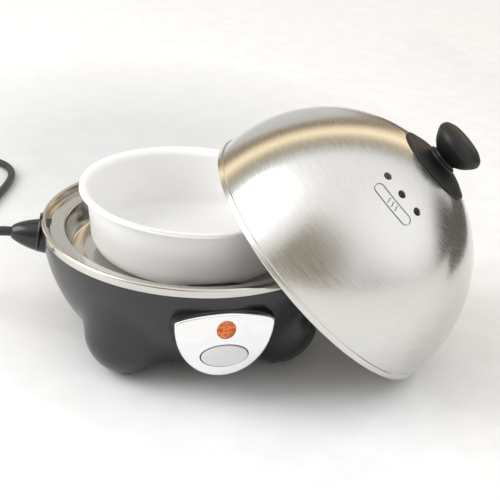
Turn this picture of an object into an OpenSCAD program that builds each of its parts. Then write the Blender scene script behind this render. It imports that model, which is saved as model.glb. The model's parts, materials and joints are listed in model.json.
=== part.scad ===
// Electric egg cooker: a round base with a steam well, a poaching bowl that
// stands in the well, and a domed steel lid that leans beside the base.
// The origin is the centre of the base on the table. +Z is up and the
// control panel faces -Y.

/* [Heating dish] */
// Outer radius of the dish rim
dish_r = 92.5; // [80:0.5:111]
// Height of the dish rim above the table
dish_top = 75; // [62:0.5:90]
// Height of the steel band around the rim
band_h = 5; // [4:0.1:6]
// Thickness of the pressed sheet steel
sheet_t = 0.8; // [0.6:0.1:1]
// Width of the rolled bead on the rim
bead_w = 3; // [2.5:0.1:3.5]
// Width of the gutter inside the bead
gutter_w = 2; // [1.5:0.1:2.5]
// Width of the flat ledge around the well
ledge_w = 9.3; // [7:0.1:12]
// Depth of the well below the ledge
well_d = 15.6; // [12:0.1:19]
// How much the well narrows from its mouth to its floor
well_draft = 4.2; // [3:0.1:6]
// Width of the lower ring around the well floor
floor_ring = 8; // [6:0.1:10]
// Height of the step up to the middle of the floor
floor_step = 1; // [0.8:0.1:1.5]

/* [Base housing] */
// Wall thickness of the black mouldings
wall = 2.6; // [2:0.1:3.1]
// Radius of each egg-shaped foot
foot_r = 26; // [21.5:0.5:30.5]
// How far the feet stand in from the dish rim, to their centres
foot_inset = 27; // [24:0.5:32]
// Height of the housing floor above the table
floor_z = 9; // [7:0.5:11]
// Radius of a rubber foot pad
pad_r = 8; // [6.7:0.1:8.5]
// Thickness of a rubber foot pad
pad_h = 1.6; // [1.4:0.1:2]
// Thickness of the bottom cover
cover_t = 1.6; // [1.2:0.1:1.9]

/* [Control panel] */
// Half width of the shield-shaped panel
panel_a = 29.3; // [25:0.1:34]
// Drop from the dish rim to the panel's widest line
panel_drop = 21; // [19.5:0.5:22.5]
// Rise of the arched top edge above the widest line
panel_up = 6.7; // [6:0.1:8]
// Drop of the rounded lower edge below the widest line
panel_down = 33.9; // [31:0.1:37]
// Thickness of the chromed panel
panel_t = 1.8; // [1.5:0.1:2.2]
// How far the middle of the panel swells beyond its edge
panel_crown = 2.5; // [1.5:0.1:3]
// Radius of the lamp lens
lens_r = 5.5; // [4.6:0.1:6.6]
// Drop from the dish rim to the lamp
lens_drop = 24.1; // [23:0.1:25]
// Half width of the push button
button_a = 13.7; // [11.5:0.1:16.4]
// Half height of the push button
button_b = 6.7; // [5.6:0.1:8]
// Drop from the dish rim to the button
button_drop = 40.8; // [40:0.1:43]
// Travel of the button
button_travel = 2; // [1.5:0.1:2.5]

/* [Poaching bowl] */
// Clear gap between the bowl and the mouth of the well
moat = 11.7; // [9:0.1:14]
// Height of the bowl
bowl_h = 42.4; // [36:0.1:51]
// Wall thickness of the bowl
bowl_t = 2.2; // [1.8:0.1:2.6]
// Width of the bowl's lip
lip_w = 4.5; // [3.7:0.1:5.4]
// Radius of the bend between the bowl's wall and its floor
bowl_bend = 14; // [10:0.5:17]

/* [Lid] */
// Height of the dome from its hem to its flat crown
dome_h = 91; // [76:0.5:109]
// Tilt of the leaning lid away from upright
lid_tilt = 41.8; // [40:0.1:44]
// Turn of the leaning lid about the vertical
lid_turn = -19.8; // [-24:0.1:-16]
// Height of the straight hem
hem_h = 4; // [3:0.1:5]
// Radius of a steam vent
vent_r = 2.5; // [2:0.1:3]

/* [Knob] */
// Radius of the knob's skirt
skirt_r = 25.5; // [21.5:0.5:30.5]
// Height of the skirt and neck
skirt_h = 8.6; // [7.8:0.1:10.3]
// Radius of the knob's neck
neck_r = 8.2; // [7:0.1:9]
// Radius of the mushroom cap
cap_r = 17.3; // [15.5:0.1:20.8]
// Height of the mushroom cap
cap_h = 17; // [15:0.5:20.5]

/* [Heating] */
// Floor left uncovered around the element plate
plate_inset = 20; // [18:0.5:24]
// Thickness of the element plate
plate_t = 3; // [2.5:0.1:3.5]
// Radius of the tubular element's section
tube_r = 3.4; // [3:0.1:4]
// Depth of the heat shield below the plate
shield_drop = 11; // [9:0.5:12]

/* [Cord] */
// Radius of the power cord
cord_r = 3; // [2.5:0.1:3.5]

/* [Clearances] */
// Gap around parts that move or drop in
slip = 0.3; // [0.2:0.05:0.4]
// Gap around screws in their holes
screw_gap = 0.1; // [0.05:0.05:0.2]

/* [Hidden] */
$fn = 96;
eps = 0.01;

// Heights and radii of the base
seam_z = dish_top - band_h;
shell_r = dish_r - 0.2;
shell_z = seam_z + 6.2;
cavity_r = shell_r - wall;
ledge_z = dish_top - band_h;
mouth_r = dish_r - bead_w - gutter_w - ledge_w;
well_floor_r = mouth_r - well_draft;
step_r = well_floor_r - floor_ring;
ring_z = ledge_z - well_d;
well_z = ring_z + floor_step;
under_z = well_z - sheet_t;

// Feet, pillars and the bottom opening
foot_polar = dish_r - foot_inset;
foot_angles = [-135, -45, 45, 135];
foot_at_floor = sqrt(foot_r * foot_r - pow(foot_r - floor_z, 2));
cover_r = foot_polar - foot_at_floor - 2;
opening_r = cover_r - 6;
deck = 2.4;
deck_z = floor_z + deck;
boss_polar = cover_r - 3;
boss_angles = [30, 150, 270];
boss_r = 3.2;
boss_h = 11;
pillar_polar = step_r - 12;
pillar_angles = [0, 90, 180, 270];
pillar_r = 4.5;
pillar_top = under_z - 10;
screw_r = 1.5;
head_r = 2.8;
head_h = 2.4;

// Panel planes, measured outwards along -Y, and heights below the dish rim
panel_z = dish_top - panel_drop;
lens_z = dish_top - lens_drop;
button_z = dish_top - button_drop;
face_y = dish_r + 1;
face_mid = face_y + panel_crown;
crown_ball_r = (panel_a * panel_a + panel_crown * panel_crown) / (2 * panel_crown);
panel_mid_z = panel_z + (panel_up - panel_down) / 2;
lens_y = face_mid - 0.1;
seat_y = face_y - panel_t;
boss_wall = 2.4;
lens_proud = 0.7;
button_proud = 1.5;
flange_t = 1.5;
flange_w = 1.2;
flange_y = seat_y - boss_wall - slip;
stem_r = 2;
spring_len = 6.2;
switch_y = flange_y - flange_t - spring_len;
switch_size = [26, 15, 16];
post_x = 19;
post_z = lens_z - 6;
bracket_t = 1.2;
holder_len = 8;
lamp_r = 2.2;

// Element and sensors
plate_r = step_r - plate_inset;
plate_z = under_z - plate_t;
ring_r = plate_r - 12;
ring_gap = 40;
element_z = plate_z - tube_r;
shield_z = plate_z - shield_drop;
shield_t = 0.6;
terminal_r = 1.8;
terminal_len = 18;
thermostat_r = min(8, ring_r - tube_r - 6);
thermostat_h = 6;

// Cord outlet at the back left
tip = [-dish_r - 16.5, 21, dish_top - 12.5];
cord_turn = atan2(tip[1], tip[0]);
hood_tilt = 6;
hood_len = norm([tip[0], tip[1]]) - dish_r + 5;
hood_base_r = 11;
hood_tip_r = cord_r + 0.6;
hood_flange_r = 12.5;
hood_flange_x = 5.6 - hood_len;
hood_flange_up = 2;
hood_flange_t = 1.8;
wire_r = 0.9;
clamp_t = 3.5;
clamp_y = 11;
clamp_z = 6;
clamp_x = -(hood_len + 4);
inlet_len = hood_len + 8.2;
// The cord's points, chosen for a base of the first size and carried along with the outlet
route_points = [[-109, 21, 62.5], [-117, 23, 62], [-126, 26, 59], [-135, 30, 53], [-143, 35, 44],
  [-149, 41, 33], [-153, 50, 21], [-155, 61, 11], [-155, 74, 5], [-153, 90, 3.2], [-149, 110, 3.2],
  [-143, 130, 3.2], [-135, 150, 3.2], [-126, 170, 3.2], [-118, 187, 3.2], [-110, 204, 3.2],
  [-102, 222, 3.2], [-95, 240, 3.2], [-91, 256, 3.2], [-92, 272, 3.2], [-99, 285, 3.2],
  [-110, 293, 3.2], [-124, 297, 3.2], [-140, 298, 4]];
tail_points = [[-198, 263, 4], [-198, 250, 4], [-198, 240, 6], [-198, 230, 8]];
route_floor = 3.2;
cord_rest = cord_r + 0.2;
route_drop = (tip[2] - cord_rest) / (route_points[0][2] - route_floor);
function carried(p) = [p[0] - route_points[0][0] + tip[0], p[1] - route_points[0][1] + tip[1],
  cord_rest + (p[2] - route_floor) * route_drop];
cord_route = [for (p = route_points) carried(p)];
tail_route = [for (p = tail_points) carried(p)];
coil_at = [tip[0] - 56, tip[1] + 244];
coil_mean = 33;
coil_w = 13;
coil_h = 12;
coil_base = 0.4;
plug_r = 8;
plug_len = 34;
plug_pin_r = 2.4;
plug_pin_len = 19;
plug_pin_gap = 9.5;

// Bowl
bowl_r = mouth_r - moat;
bowl_draft = 5;
bowl_z = well_z;
lip_r = bowl_r + lip_w;

// Lid
lid_r = dish_r - 0.4;
hem_step = 1;
dome_r = lid_r - hem_step;
lid_reach = lid_r - 9.2;
lid_polar = lid_turn - 3.1;
lid_at = [lid_reach * cos(lid_polar), lid_reach * sin(lid_polar), lid_r * sin(lid_tilt)];
crown_r = skirt_r + 1;
crown_fall = sqrt(1 - pow(crown_r / dome_r, 2));
dome_b = (dome_h - hem_h) / crown_fall;
vent_polar = 54.3;
vent_h = hem_h + dome_b * sqrt(1 - pow(vent_polar / dome_r, 2));
vent_lean = atan(vent_polar / pow(dome_r, 2) * pow(dome_b, 2) / (vent_h - hem_h));
vent_step = 13.6;
vent_middle = -108;
knob_hole_r = 2.2;
knob_shank_r = 2;
washer_r = 7;
washer_t = 1;

// Points of an arc in the r-z plane
function arc(c, r, a0, a1, n = 8) =
  [for (i = [0:n]) c + r * [cos(a0 + (a1 - a0) * i / n), sin(a0 + (a1 - a0) * i / n)]];

// Unit normal to the left of the step from a to b
function left_of(a, b) = [a[1] - b[1], b[0] - a[0]] / norm(b - a);

// Mitred offset of point i of a path, by t to its left
function shifted(path, i, t) =
  let (last = len(path) - 1,
       n0 = left_of(path[max(i - 1, 0)], path[max(i, 1)]),
       n1 = left_of(path[min(i, last - 1)], path[min(i + 1, last)]))
  path[i] + t * (n0 + n1) / (1 + n0 * n1);

// Outline of sheet of thickness t that lies to the left of a path
function sheet(path, t) =
  concat(path, [for (i = [len(path) - 1:-1:0]) shifted(path, i, t)]);

// Closed outline with one half width, an upper and a lower height and a fullness
function shield(a, up, down, full_up, full_down, n = 72) =
  [for (i = [0:n - 1])
    let (t = 360 * i / n, c = cos(t), s = sin(t), p = s > 0 ? full_up : full_down, b = s > 0 ? up : down)
    [a * sign(c) * pow(abs(c), 2 / p), b * sign(s) * pow(abs(s), 2 / p)]];

// Tube of radius r swept along a route of points
module swept_tube(route, r, sides = 10) {
  last = len(route) - 1;
  rings = [for (i = [0:last])
    let (d = route[min(i + 1, last)] - route[max(i - 1, 0)], w = d / norm(d),
         side = cross(w, [0.02, 0.01, 1]), u = side / norm(side), v = cross(w, u))
    [for (k = [0:sides - 1]) route[i] + r * (cos(360 * k / sides) * u + sin(360 * k / sides) * v)]];
  points = [for (ring = rings) each ring];
  walls = [for (i = [0:last - 1], k = [0:sides - 1])
    let (a = i * sides + k, b = i * sides + (k + 1) % sides)
    [a, a + sides, b + sides, b]];
  caps = [[for (k = [0:sides - 1]) k], [for (k = [sides - 1:-1:0]) last * sides + k]];
  polyhedron(points, concat(walls, caps));
}

// Screw standing on its tip, head upwards
module screw(length, r = screw_r, head = head_r, h = head_h) {
  cylinder(r = r, h = length);
  translate([0, 0, length]) cylinder(r = head, h = h);
}

module at_polar(r, angles) {
  for (a = angles) rotate([0, 0, a]) translate([r, 0, 0]) children();
}

// Stands children on the panel: X across, Y up, Z outwards, from depth y
module on_panel(y, z) { translate([0, -y, z]) rotate([90, 0, 0]) children(); }

// Puts children at the tip of the cord outlet, +X outwards
module at_tip() { translate(tip) rotate([0, 0, cord_turn]) rotate([0, -hood_tilt, 0]) children(); }

// Lies along the outlet's axis from x0 to x1
module along_tip(r1, r2, x0, x1) {
  at_tip() translate([x0, 0, 0]) rotate([0, 90, 0]) cylinder(r1 = r1, r2 = r2, h = x1 - x0);
}

module at_lid() { translate(lid_at) rotate([0, 0, lid_turn]) rotate([0, lid_tilt, 0]) children(); }

module panel_prism(grow, y0, y1) {
  on_panel(y0, panel_z) linear_extrude(y1 - y0)
    polygon(shield(panel_a + grow, panel_up + grow, panel_down + grow, 1.8, 2.05));
}

module button_prism(grow, y0, y1) {
  on_panel(y0, button_z) linear_extrude(y1 - y0)
    polygon(shield(button_a + grow, button_b + grow, button_b + grow, 2, 2));
}

module foot_balls(r) { at_polar(foot_polar, foot_angles) translate([0, 0, foot_r]) sphere(r = r); }

module base_housing() {
  rebate_r = dish_r - bead_w + 1;
  color([0.1, 0.1, 0.11]) difference() {
    union() {
      difference() {
        union() {
          intersection() {
            translate([0, 0, shell_z]) sphere(r = shell_r, $fn = 160);
            translate([0, 0, floor_z]) cylinder(r = dish_r, h = seam_z - floor_z);
          }
          foot_balls(foot_r);
          intersection() {
            panel_prism(1.4, foot_polar, seat_y);
            cylinder(r = dish_r + 5, h = seam_z);
          }
        }
        intersection() {
          translate([0, 0, shell_z]) sphere(r = cavity_r, $fn = 160);
          translate([0, 0, deck_z]) cylinder(r = dish_r, h = seam_z);
        }
        intersection() {
          foot_balls(foot_r - wall);
          translate([0, 0, pad_h + 2]) cylinder(r = dish_r, h = seam_z);
        }
        panel_prism(1.4 - boss_wall, foot_polar - 10, seat_y - boss_wall);
        panel_prism(slip, seat_y, dish_r + 20);
      }
      at_polar(pillar_polar, pillar_angles) translate([0, 0, floor_z])
        cylinder(r = pillar_r, h = pillar_top - floor_z);
      at_polar(boss_polar, boss_angles) translate([0, 0, floor_z]) cylinder(r = boss_r, h = boss_h);
      for (side = [-1, 1]) translate([side * post_x, 0, 0])
        on_panel(switch_y - switch_size[2], post_z)
          cylinder(r = 3.4, h = seat_y - 1 - switch_y + switch_size[2]);
      intersection() {
        at_tip() translate([clamp_x, -clamp_y, -clamp_z - 1]) cube([12, 2 * clamp_y, 2 * clamp_z + 2]);
        translate([0, 0, shell_z]) sphere(r = shell_r - 0.5);
      }
    }
    translate([0, 0, -eps]) cylinder(r = dish_r, h = pad_h + eps);
    translate([0, 0, seam_z - 3]) cylinder(r = rebate_r, h = 10);
    translate([0, 0, floor_z - eps]) cylinder(r = cover_r + slip, h = cover_t + eps);
    translate([0, 0, floor_z - eps]) difference() {
      cylinder(r = opening_r, h = deck + 2 * eps);
      at_polar(boss_polar, boss_angles) cylinder(r = boss_r, h = deck);
    }
    at_polar(pillar_polar, pillar_angles) {
      translate([0, 0, floor_z - eps]) cylinder(r = head_r + slip, h = pillar_top - floor_z - 6 + 2 * eps);
      cylinder(r = screw_r + screw_gap, h = pillar_top + eps);
    }
    at_polar(boss_polar, boss_angles) cylinder(r = screw_r + screw_gap, h = floor_z + boss_h - 1);
    on_panel(0, lens_z) cylinder(r = lens_r + slip, h = dish_r);
    button_prism(slip, foot_polar, dish_r);
    for (side = [-1, 1]) translate([side * post_x, 0, 0])
      on_panel(switch_y - switch_size[2] - 1, post_z) cylinder(r = screw_r + screw_gap, h = 10);
    along_tip(cord_r + slip, cord_r + slip, -inlet_len - 5, 0);
    at_tip() for (side = [-1, 1]) translate([clamp_x - 1, side * 7.5, 0]) rotate([0, 90, 0])
      cylinder(r = screw_r + screw_gap, h = 5.5);
  }
}

module bottom_cover() {
  color([0.12, 0.12, 0.13]) difference() {
    translate([0, 0, floor_z]) cylinder(r = cover_r, h = cover_t);
    at_polar(boss_polar, boss_angles) cylinder(r = screw_r + screw_gap, h = dish_top);
    for (i = [-3:3]) translate([i * 6 - 1, -opening_r / 2, 0]) cube([2, opening_r, dish_top]);
  }
}

module cover_screws() {
  color([0.6, 0.6, 0.62]) at_polar(boss_polar, boss_angles)
    translate([0, 0, floor_z + boss_h - 2]) rotate([180, 0, 0]) screw(boss_h - 2);
}

module foot_pads() {
  color([0.2, 0.2, 0.2]) at_polar(foot_polar, foot_angles) cylinder(r = pad_r, h = pad_h);
}

module heating_dish() {
  bead = bead_w / 2;
  profile = concat(
    [[0, well_z], [step_r, well_z], [step_r + 1, ring_z]],
    arc([well_floor_r - 2, ring_z + 2], 2, -90, -15, 4),
    [[mouth_r, ledge_z - 1], [mouth_r + 1, ledge_z], [mouth_r + ledge_w, ledge_z]],
    [[mouth_r + ledge_w + 0.6, ledge_z - 1], [dish_r - bead_w - 0.3, ledge_z - 1]],
    arc([dish_r - bead, dish_top - bead], bead, 180, 0, 10),
    [[dish_r, seam_z]]);
  color([0.75, 0.75, 0.74]) union() {
    rotate_extrude($fn = 160) polygon(sheet(profile, -sheet_t));
    at_polar(pillar_polar, pillar_angles) difference() {
      translate([0, 0, pillar_top]) cylinder(r = 3.4, h = under_z - pillar_top + eps);
      translate([0, 0, pillar_top - eps]) cylinder(r = screw_r + screw_gap, h = 8);
    }
  }
}

module dish_screws() {
  color([0.6, 0.6, 0.62]) at_polar(pillar_polar, pillar_angles)
    translate([0, 0, pillar_top + 6]) rotate([180, 0, 0]) screw(12);
}

module element_plate() {
  color([0.7, 0.7, 0.7]) difference() {
    translate([0, 0, plate_z]) cylinder(r = plate_r, h = plate_t);
    at_polar(plate_r - 5, [60, 180, 300]) cylinder(r = screw_r + screw_gap, h = plate_z + plate_t - 0.8);
  }
}

module heating_element() {
  color([0.5, 0.48, 0.45]) rotate([0, 0, 90 + ring_gap / 2]) rotate_extrude(angle = 360 - ring_gap)
    translate([ring_r, element_z]) circle(r = tube_r, $fn = 32);
}

module element_terminals() {
  color([0.8, 0.75, 0.6]) for (side = [-1, 1]) rotate([0, 0, 90 + side * ring_gap / 2])
    translate([ring_r, 0, element_z]) rotate([0, 0, side * 90]) {
      translate([-terminal_r * 2, 0, 0]) rotate([0, 90, 0]) cylinder(r = terminal_r, h = terminal_r * 2);
      translate([-terminal_r * 2, 0, -terminal_len]) cylinder(r = terminal_r, h = terminal_len);
      translate([-terminal_r * 2, 0, 0]) sphere(r = terminal_r, $fn = 32);
    }
}

module heat_shield() {
  color([0.72, 0.72, 0.7]) difference() {
    union() {
      translate([0, 0, shield_z]) cylinder(r = plate_r, h = shield_t);
      at_polar(plate_r - 5, [60, 180, 300]) translate([0, 0, shield_z]) cylinder(r = 3, h = shield_drop);
    }
    at_polar(plate_r - 5, [60, 180, 300]) cylinder(r = screw_r + screw_gap, h = dish_top);
    translate([-ring_r, ring_r * 0.6, shield_z - 1]) cube([2 * ring_r, ring_r * 0.6, 3]);
  }
}

module shield_screws() {
  color([0.6, 0.6, 0.62]) at_polar(plate_r - 5, [60, 180, 300])
    translate([0, 0, plate_z + plate_t - 1]) rotate([180, 0, 0]) screw(plate_t - 1 + shield_drop);
}

module thermostat() {
  color([0.3, 0.25, 0.2]) {
    translate([0, 0, plate_z - thermostat_h]) cylinder(r = thermostat_r, h = thermostat_h);
    for (side = [-1, 1]) translate([side * thermostat_r * 0.5 - 1.5, -0.4, plate_z - thermostat_h - 4])
      cube([3, 0.8, 4 + eps]);
  }
}

module sensor_bracket() {
  arm = ring_r - tube_r - 1;
  color([0.7, 0.7, 0.68]) difference() {
    union() {
      translate([-3, -arm, plate_z - 1]) cube([6, 2 * arm, 1]);
      translate([0, 0, plate_z - 1]) cylinder(r = thermostat_r + 1.5, h = 1);
    }
    cylinder(r = thermostat_r + 0.05, h = dish_top);
    translate([0, -arm + 3, 0]) cylinder(r = 2.6, h = dish_top);
  }
}

module thermal_fuse() {
  y = ring_r - tube_r - 5;
  color([0.85, 0.85, 0.8]) translate([-7, y, plate_z - 3.5]) rotate([0, 90, 0]) {
    cylinder(r = 2.4, h = 14);
    translate([0, 0, -5]) cylinder(r = 0.6, h = 24);
  }
}

module panel_bezel() {
  color([0.85, 0.85, 0.87]) difference() {
    union() {
      panel_prism(0, seat_y, face_y - 0.3);
      intersection() {
        panel_prism(-0.8, seat_y + eps, face_mid + 1);
        translate([0, crown_ball_r - face_mid, panel_mid_z]) sphere(r = crown_ball_r, $fn = 160);
      }
    }
    on_panel(0, lens_z) cylinder(r = lens_r + slip / 3, h = dish_r + 10);
    button_prism(slip, 0, dish_r + 10);
  }
}

module lamp_lens() {
  color([0.9, 0.35, 0.05]) {
    on_panel(flange_y, lens_z) cylinder(r = lens_r, h = lens_y - flange_y);
    on_panel(lens_y, lens_z) cylinder(r1 = lens_r, r2 = lens_r - 1.5, h = lens_proud);
    on_panel(flange_y - flange_t, lens_z) cylinder(r = lens_r + 0.8, h = flange_t);
  }
}

module lamp_holder() {
  color([0.9, 0.9, 0.88]) difference() {
    on_panel(flange_y - flange_t - holder_len, lens_z) cylinder(r = lens_r + 0.8, h = holder_len);
    on_panel(flange_y - flange_t - holder_len + 1.5, lens_z) cylinder(r = lens_r - 1, h = holder_len);
    on_panel(flange_y - flange_t - holder_len - 1, lens_z) cylinder(r = lamp_r + screw_gap, h = 3);
  }
}

module neon_lamp() {
  color([1, 0.8, 0.6, 0.8]) {
    on_panel(flange_y - flange_t - holder_len, lens_z) cylinder(r = lamp_r, h = holder_len - 3);
    on_panel(flange_y - flange_t - 3, lens_z) sphere(r = lamp_r, $fn = 32);
  }
}

module push_button() {
  color([0.75, 0.75, 0.77]) {
    button_prism(0, flange_y, face_mid + button_proud * 0.4);
    button_prism(-0.7, face_y, face_mid + button_proud);
    button_prism(flange_w, flange_y - flange_t, flange_y);
    on_panel(switch_y - 2, button_z) cylinder(r = stem_r, h = flange_y - flange_t - switch_y + 2 + eps);
  }
}

module button_spring() {
  turns = 4;
  wire = 0.4;
  steps = 12;
  mean_r = stem_r + 1.4;
  route = [for (i = [0:turns * steps])
    [mean_r * cos(360 * i / steps), mean_r * sin(360 * i / steps),
     wire + (spring_len - button_travel - 2 * wire) * i / (turns * steps)]];
  color([0.7, 0.7, 0.7]) on_panel(switch_y, button_z) swept_tube(route, wire, 8);
}

module switch_body() {
  color([0.15, 0.15, 0.16]) difference() {
    on_panel(switch_y - switch_size[2], button_z) translate([-switch_size[0] / 2, -switch_size[1] / 2, 0])
      cube(switch_size);
    on_panel(switch_y - 7, button_z) cylinder(r = stem_r + slip, h = 8);
  }
}

module switch_bracket() {
  color([0.7, 0.7, 0.68]) difference() {
    on_panel(switch_y - switch_size[2] - bracket_t, button_z) translate([-post_x - 4, -6, 0])
      cube([2 * post_x + 8, post_z - button_z + 11, bracket_t]);
    for (side = [-1, 1]) translate([side * post_x, 0, 0])
      on_panel(0, post_z) cylinder(r = screw_r + screw_gap, h = dish_r);
  }
}

module bracket_screws() {
  color([0.6, 0.6, 0.62]) for (side = [-1, 1]) translate([side * post_x, 0, 0])
    translate([0, -(switch_y - switch_size[2] + 7), post_z]) rotate([-90, 0, 0]) screw(7 + bracket_t);
}

module terminal_block() {
  color([0.92, 0.92, 0.9]) rotate([0, 0, 112]) translate([pillar_polar - 11, -10, deck_z]) difference() {
    cube([14, 20, 11]);
    for (i = [-1:1]) translate([7, 10 + i * 6, 5]) cylinder(r = 1.8, h = 7);
  }
}

module internal_wires() {
  block = [for (i = [-1:1]) let (r = pillar_polar - 4, a = 112)
    [r * cos(a) - i * 6 * sin(a), r * sin(a) + i * 6 * cos(a), deck_z + 11]];
  end = norm([tip[0], tip[1]]) - inlet_len * cos(hood_tilt) - 1;
  start_z = tip[2] - inlet_len * sin(hood_tilt);
  colours = [[0.4, 0.2, 0.1], [0.1, 0.3, 0.7], [0.6, 0.7, 0.2]];
  for (i = [0:2]) color(colours[i]) {
    a = cord_turn + (i - 1) * 1.2;
    swept_tube([[end * cos(a), end * sin(a), start_z], [end * cos(a), end * sin(a), start_z - 5],
      [(end - 4) * cos(a - 3), (end - 4) * sin(a - 3), start_z - 14],
      [(end - 14) * cos(a - 12), (end - 14) * sin(a - 12), deck_z + 24],
      block[2 - i] + [-6, 2, 12], block[2 - i] + [-1, 0, 7], block[2 - i] + [0, 0, 0.5],
      block[2 - i] - [0, 0, 4]], wire_r, 8);
  }
  color([0.4, 0.2, 0.1]) swept_tube([[-7, 1.2 - (switch_y - switch_size[2] - bracket_t), button_z - 3],
    [-7, -(switch_y - switch_size[2] - 8), button_z - 4], [-9, -opening_r * 0.8, deck_z + 12],
    [-12, 0, deck_z + 10], block[0] + [2, -20, 3], block[0] + [3, -12, 1]], wire_r, 8);
}

module cord_clamp() {
  color([0.15, 0.15, 0.16]) difference() {
    at_tip() translate([clamp_x - clamp_t, -clamp_y, -clamp_z]) cube([clamp_t, 2 * clamp_y, 2 * clamp_z]);
    along_tip(cord_r + 0.05, cord_r + 0.05, clamp_x - clamp_t - 1, clamp_x + 1);
    at_tip() for (side = [-1, 1]) translate([clamp_x - clamp_t - 1, side * 7.5, 0]) rotate([0, 90, 0])
      cylinder(r = screw_r + screw_gap, h = clamp_t + 2);
  }
}

module clamp_screws() {
  color([0.6, 0.6, 0.62]) at_tip() for (side = [-1, 1])
    translate([clamp_x + 4, side * 7.5, 0]) rotate([0, -90, 0]) screw(clamp_t + 4, screw_r, 2.6, 1.6);
}

module cord_hood() {
  sleeve = concat([[0, 0]], [for (i = [0:12]) let (t = i / 12)
    [hood_tip_r + (hood_base_r - hood_tip_r) * pow(1 - pow(t, 1.6), 0.75), hood_len * t]], [[0, hood_len]]);
  color([0.07, 0.07, 0.08]) difference() {
    union() {
      at_tip() translate([-hood_len, 0, 0]) rotate([0, 90, 0]) rotate_extrude() polygon(sleeve);
      at_tip() translate([hood_flange_x, 0, hood_flange_up]) rotate([0, 90, 0])
        cylinder(r = hood_flange_r, h = hood_flange_t);
    }
    translate([0, 0, shell_z]) sphere(r = shell_r, $fn = 160);
    translate([0, 0, seam_z]) cylinder(r = dish_r + slip, h = 30);
    along_tip(cord_r + 0.05, cord_r + 0.05, -inlet_len, 1);
  }
}

module inner_cord() {
  color([0.05, 0.05, 0.05]) along_tip(cord_r, cord_r, -inlet_len, -1);
}

module power_cord() {
  color([0.05, 0.05, 0.05]) {
    swept_tube(cord_route, cord_r);
    swept_tube(tail_route, cord_r);
  }
}

module cord_coil() {
  color([0.05, 0.05, 0.05]) translate([coil_at[0], coil_at[1], coil_base]) rotate_extrude()
    translate([coil_mean, coil_h / 2]) polygon(shield(coil_w / 2, coil_h / 2, coil_h / 2, 2.6, 2.6, 24));
}

module cord_tie() {
  color([0.2, 0.2, 0.2]) translate([coil_at[0], coil_at[1] - coil_mean, coil_base + coil_h / 2])
    rotate([0, 90, 0]) difference() {
      translate([0, 0, -2]) cylinder(r = coil_w / 2 + 1.6, h = 4);
      translate([0, 0, -3]) cylinder(r = coil_w / 2 + 0.7, h = 6);
      translate([coil_h / 2 + coil_base, -20, -4]) cube([20, 40, 8]);
    }
}

module plug_body() {
  start = tail_route[len(tail_route) - 1];
  color([0.05, 0.05, 0.05]) translate(start) rotate([90, 0, 0]) {
    cylinder(r1 = cord_r + 0.8, r2 = cord_r + 2, h = 8);
    translate([0, 0, 8]) cylinder(r1 = cord_r + 3, r2 = plug_r, h = 8);
    translate([0, 0, 16]) cylinder(r = plug_r, h = plug_len - 16);
  }
}

module plug_pins() {
  start = tail_route[len(tail_route) - 1];
  color([0.8, 0.8, 0.8]) for (side = [-1, 1])
    translate(start + [side * plug_pin_gap / 2, -plug_len, 0]) rotate([90, 0, 0]) {
      cylinder(r = plug_pin_r, h = plug_pin_len - plug_pin_r);
      translate([0, 0, plug_pin_len - plug_pin_r]) sphere(r = plug_pin_r, $fn = 32);
    }
}

module poaching_bowl() {
  foot = bowl_r - bowl_draft - bowl_bend;
  top = bowl_z + bowl_h;
  profile = concat(
    [[0, bowl_z]],
    arc([foot, bowl_z + bowl_bend], bowl_bend, -90, -6, 10),
    [[bowl_r - 1.5, top - 4.2]],
    [[bowl_r + 0.2, top - bowl_t - 0.4]],
    [[lip_r - 0.3, top - bowl_t]]);
  color([0.93, 0.93, 0.92]) rotate_extrude($fn = 160) polygon(sheet(profile, bowl_t));
}

module lid_shell() {
  dome = [for (i = [0:16]) let (t = i / 16 * acos(crown_r / dome_r))
    [dome_r * cos(t), hem_h + dome_b * sin(t)]];
  profile = concat(
    [[lid_r, 0], [lid_r, hem_h - 1.2]],
    dome,
    [[0, dome_h]]);
  color([0.78, 0.77, 0.75]) at_lid() difference() {
    rotate_extrude($fn = 160) polygon(sheet(profile, sheet_t));
    for (i = [-1:1]) rotate([0, 0, vent_middle + i * vent_step]) translate([vent_polar, 0, vent_h])
      rotate([0, vent_lean, 0]) translate([0, 0, -6]) cylinder(r = vent_r, h = 12);
    translate([0, 0, dome_h - 10]) cylinder(r = knob_hole_r, h = 20);
  }
}

module knob_skirt() {
  collar_r = neck_r + 1.7;
  profile = [[knob_hole_r, 0], [skirt_r - 0.5, 0], [skirt_r, 0.5], [skirt_r - 0.2, 1.2],
    [(skirt_r + collar_r) / 2, (skirt_h - 1.8) / 2 + 0.9],
    [collar_r - 0.2, skirt_h - 3], [collar_r, skirt_h - 2.6],
    [collar_r, skirt_h - 1.7], [collar_r - 0.7, skirt_h - 1.2], [neck_r, skirt_h - 1.2],
    [neck_r, skirt_h], [knob_hole_r, skirt_h]];
  color([0.08, 0.08, 0.08]) at_lid() translate([0, 0, dome_h]) rotate_extrude() polygon(profile);
}

module knob_cap() {
  edge = 4.6;
  rise = cap_h - edge - 0.8;
  profile = concat(
    [[0, 0], [neck_r, 0], [neck_r + (cap_r - neck_r) * 0.3, rise * 0.14],
     [neck_r + (cap_r - neck_r) * 0.52, rise * 0.32], [neck_r + (cap_r - neck_r) * 0.73, rise * 0.52]],
    arc([cap_r - edge, rise], edge, -40, 80, 10),
    [[0, cap_h]]);
  color([0.08, 0.08, 0.08]) at_lid() translate([0, 0, dome_h + skirt_h]) difference() {
    rotate_extrude() polygon(profile);
    translate([0, 0, -1]) cylinder(r = knob_shank_r + screw_gap, h = 9);
  }
}

module knob_screw() {
  color([0.7, 0.7, 0.7]) at_lid() translate([0, 0, dome_h + skirt_h + 7]) rotate([180, 0, 0])
    screw(skirt_h + 7 + sheet_t + washer_t, knob_shank_r, 4.2, 2.4);
}

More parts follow.
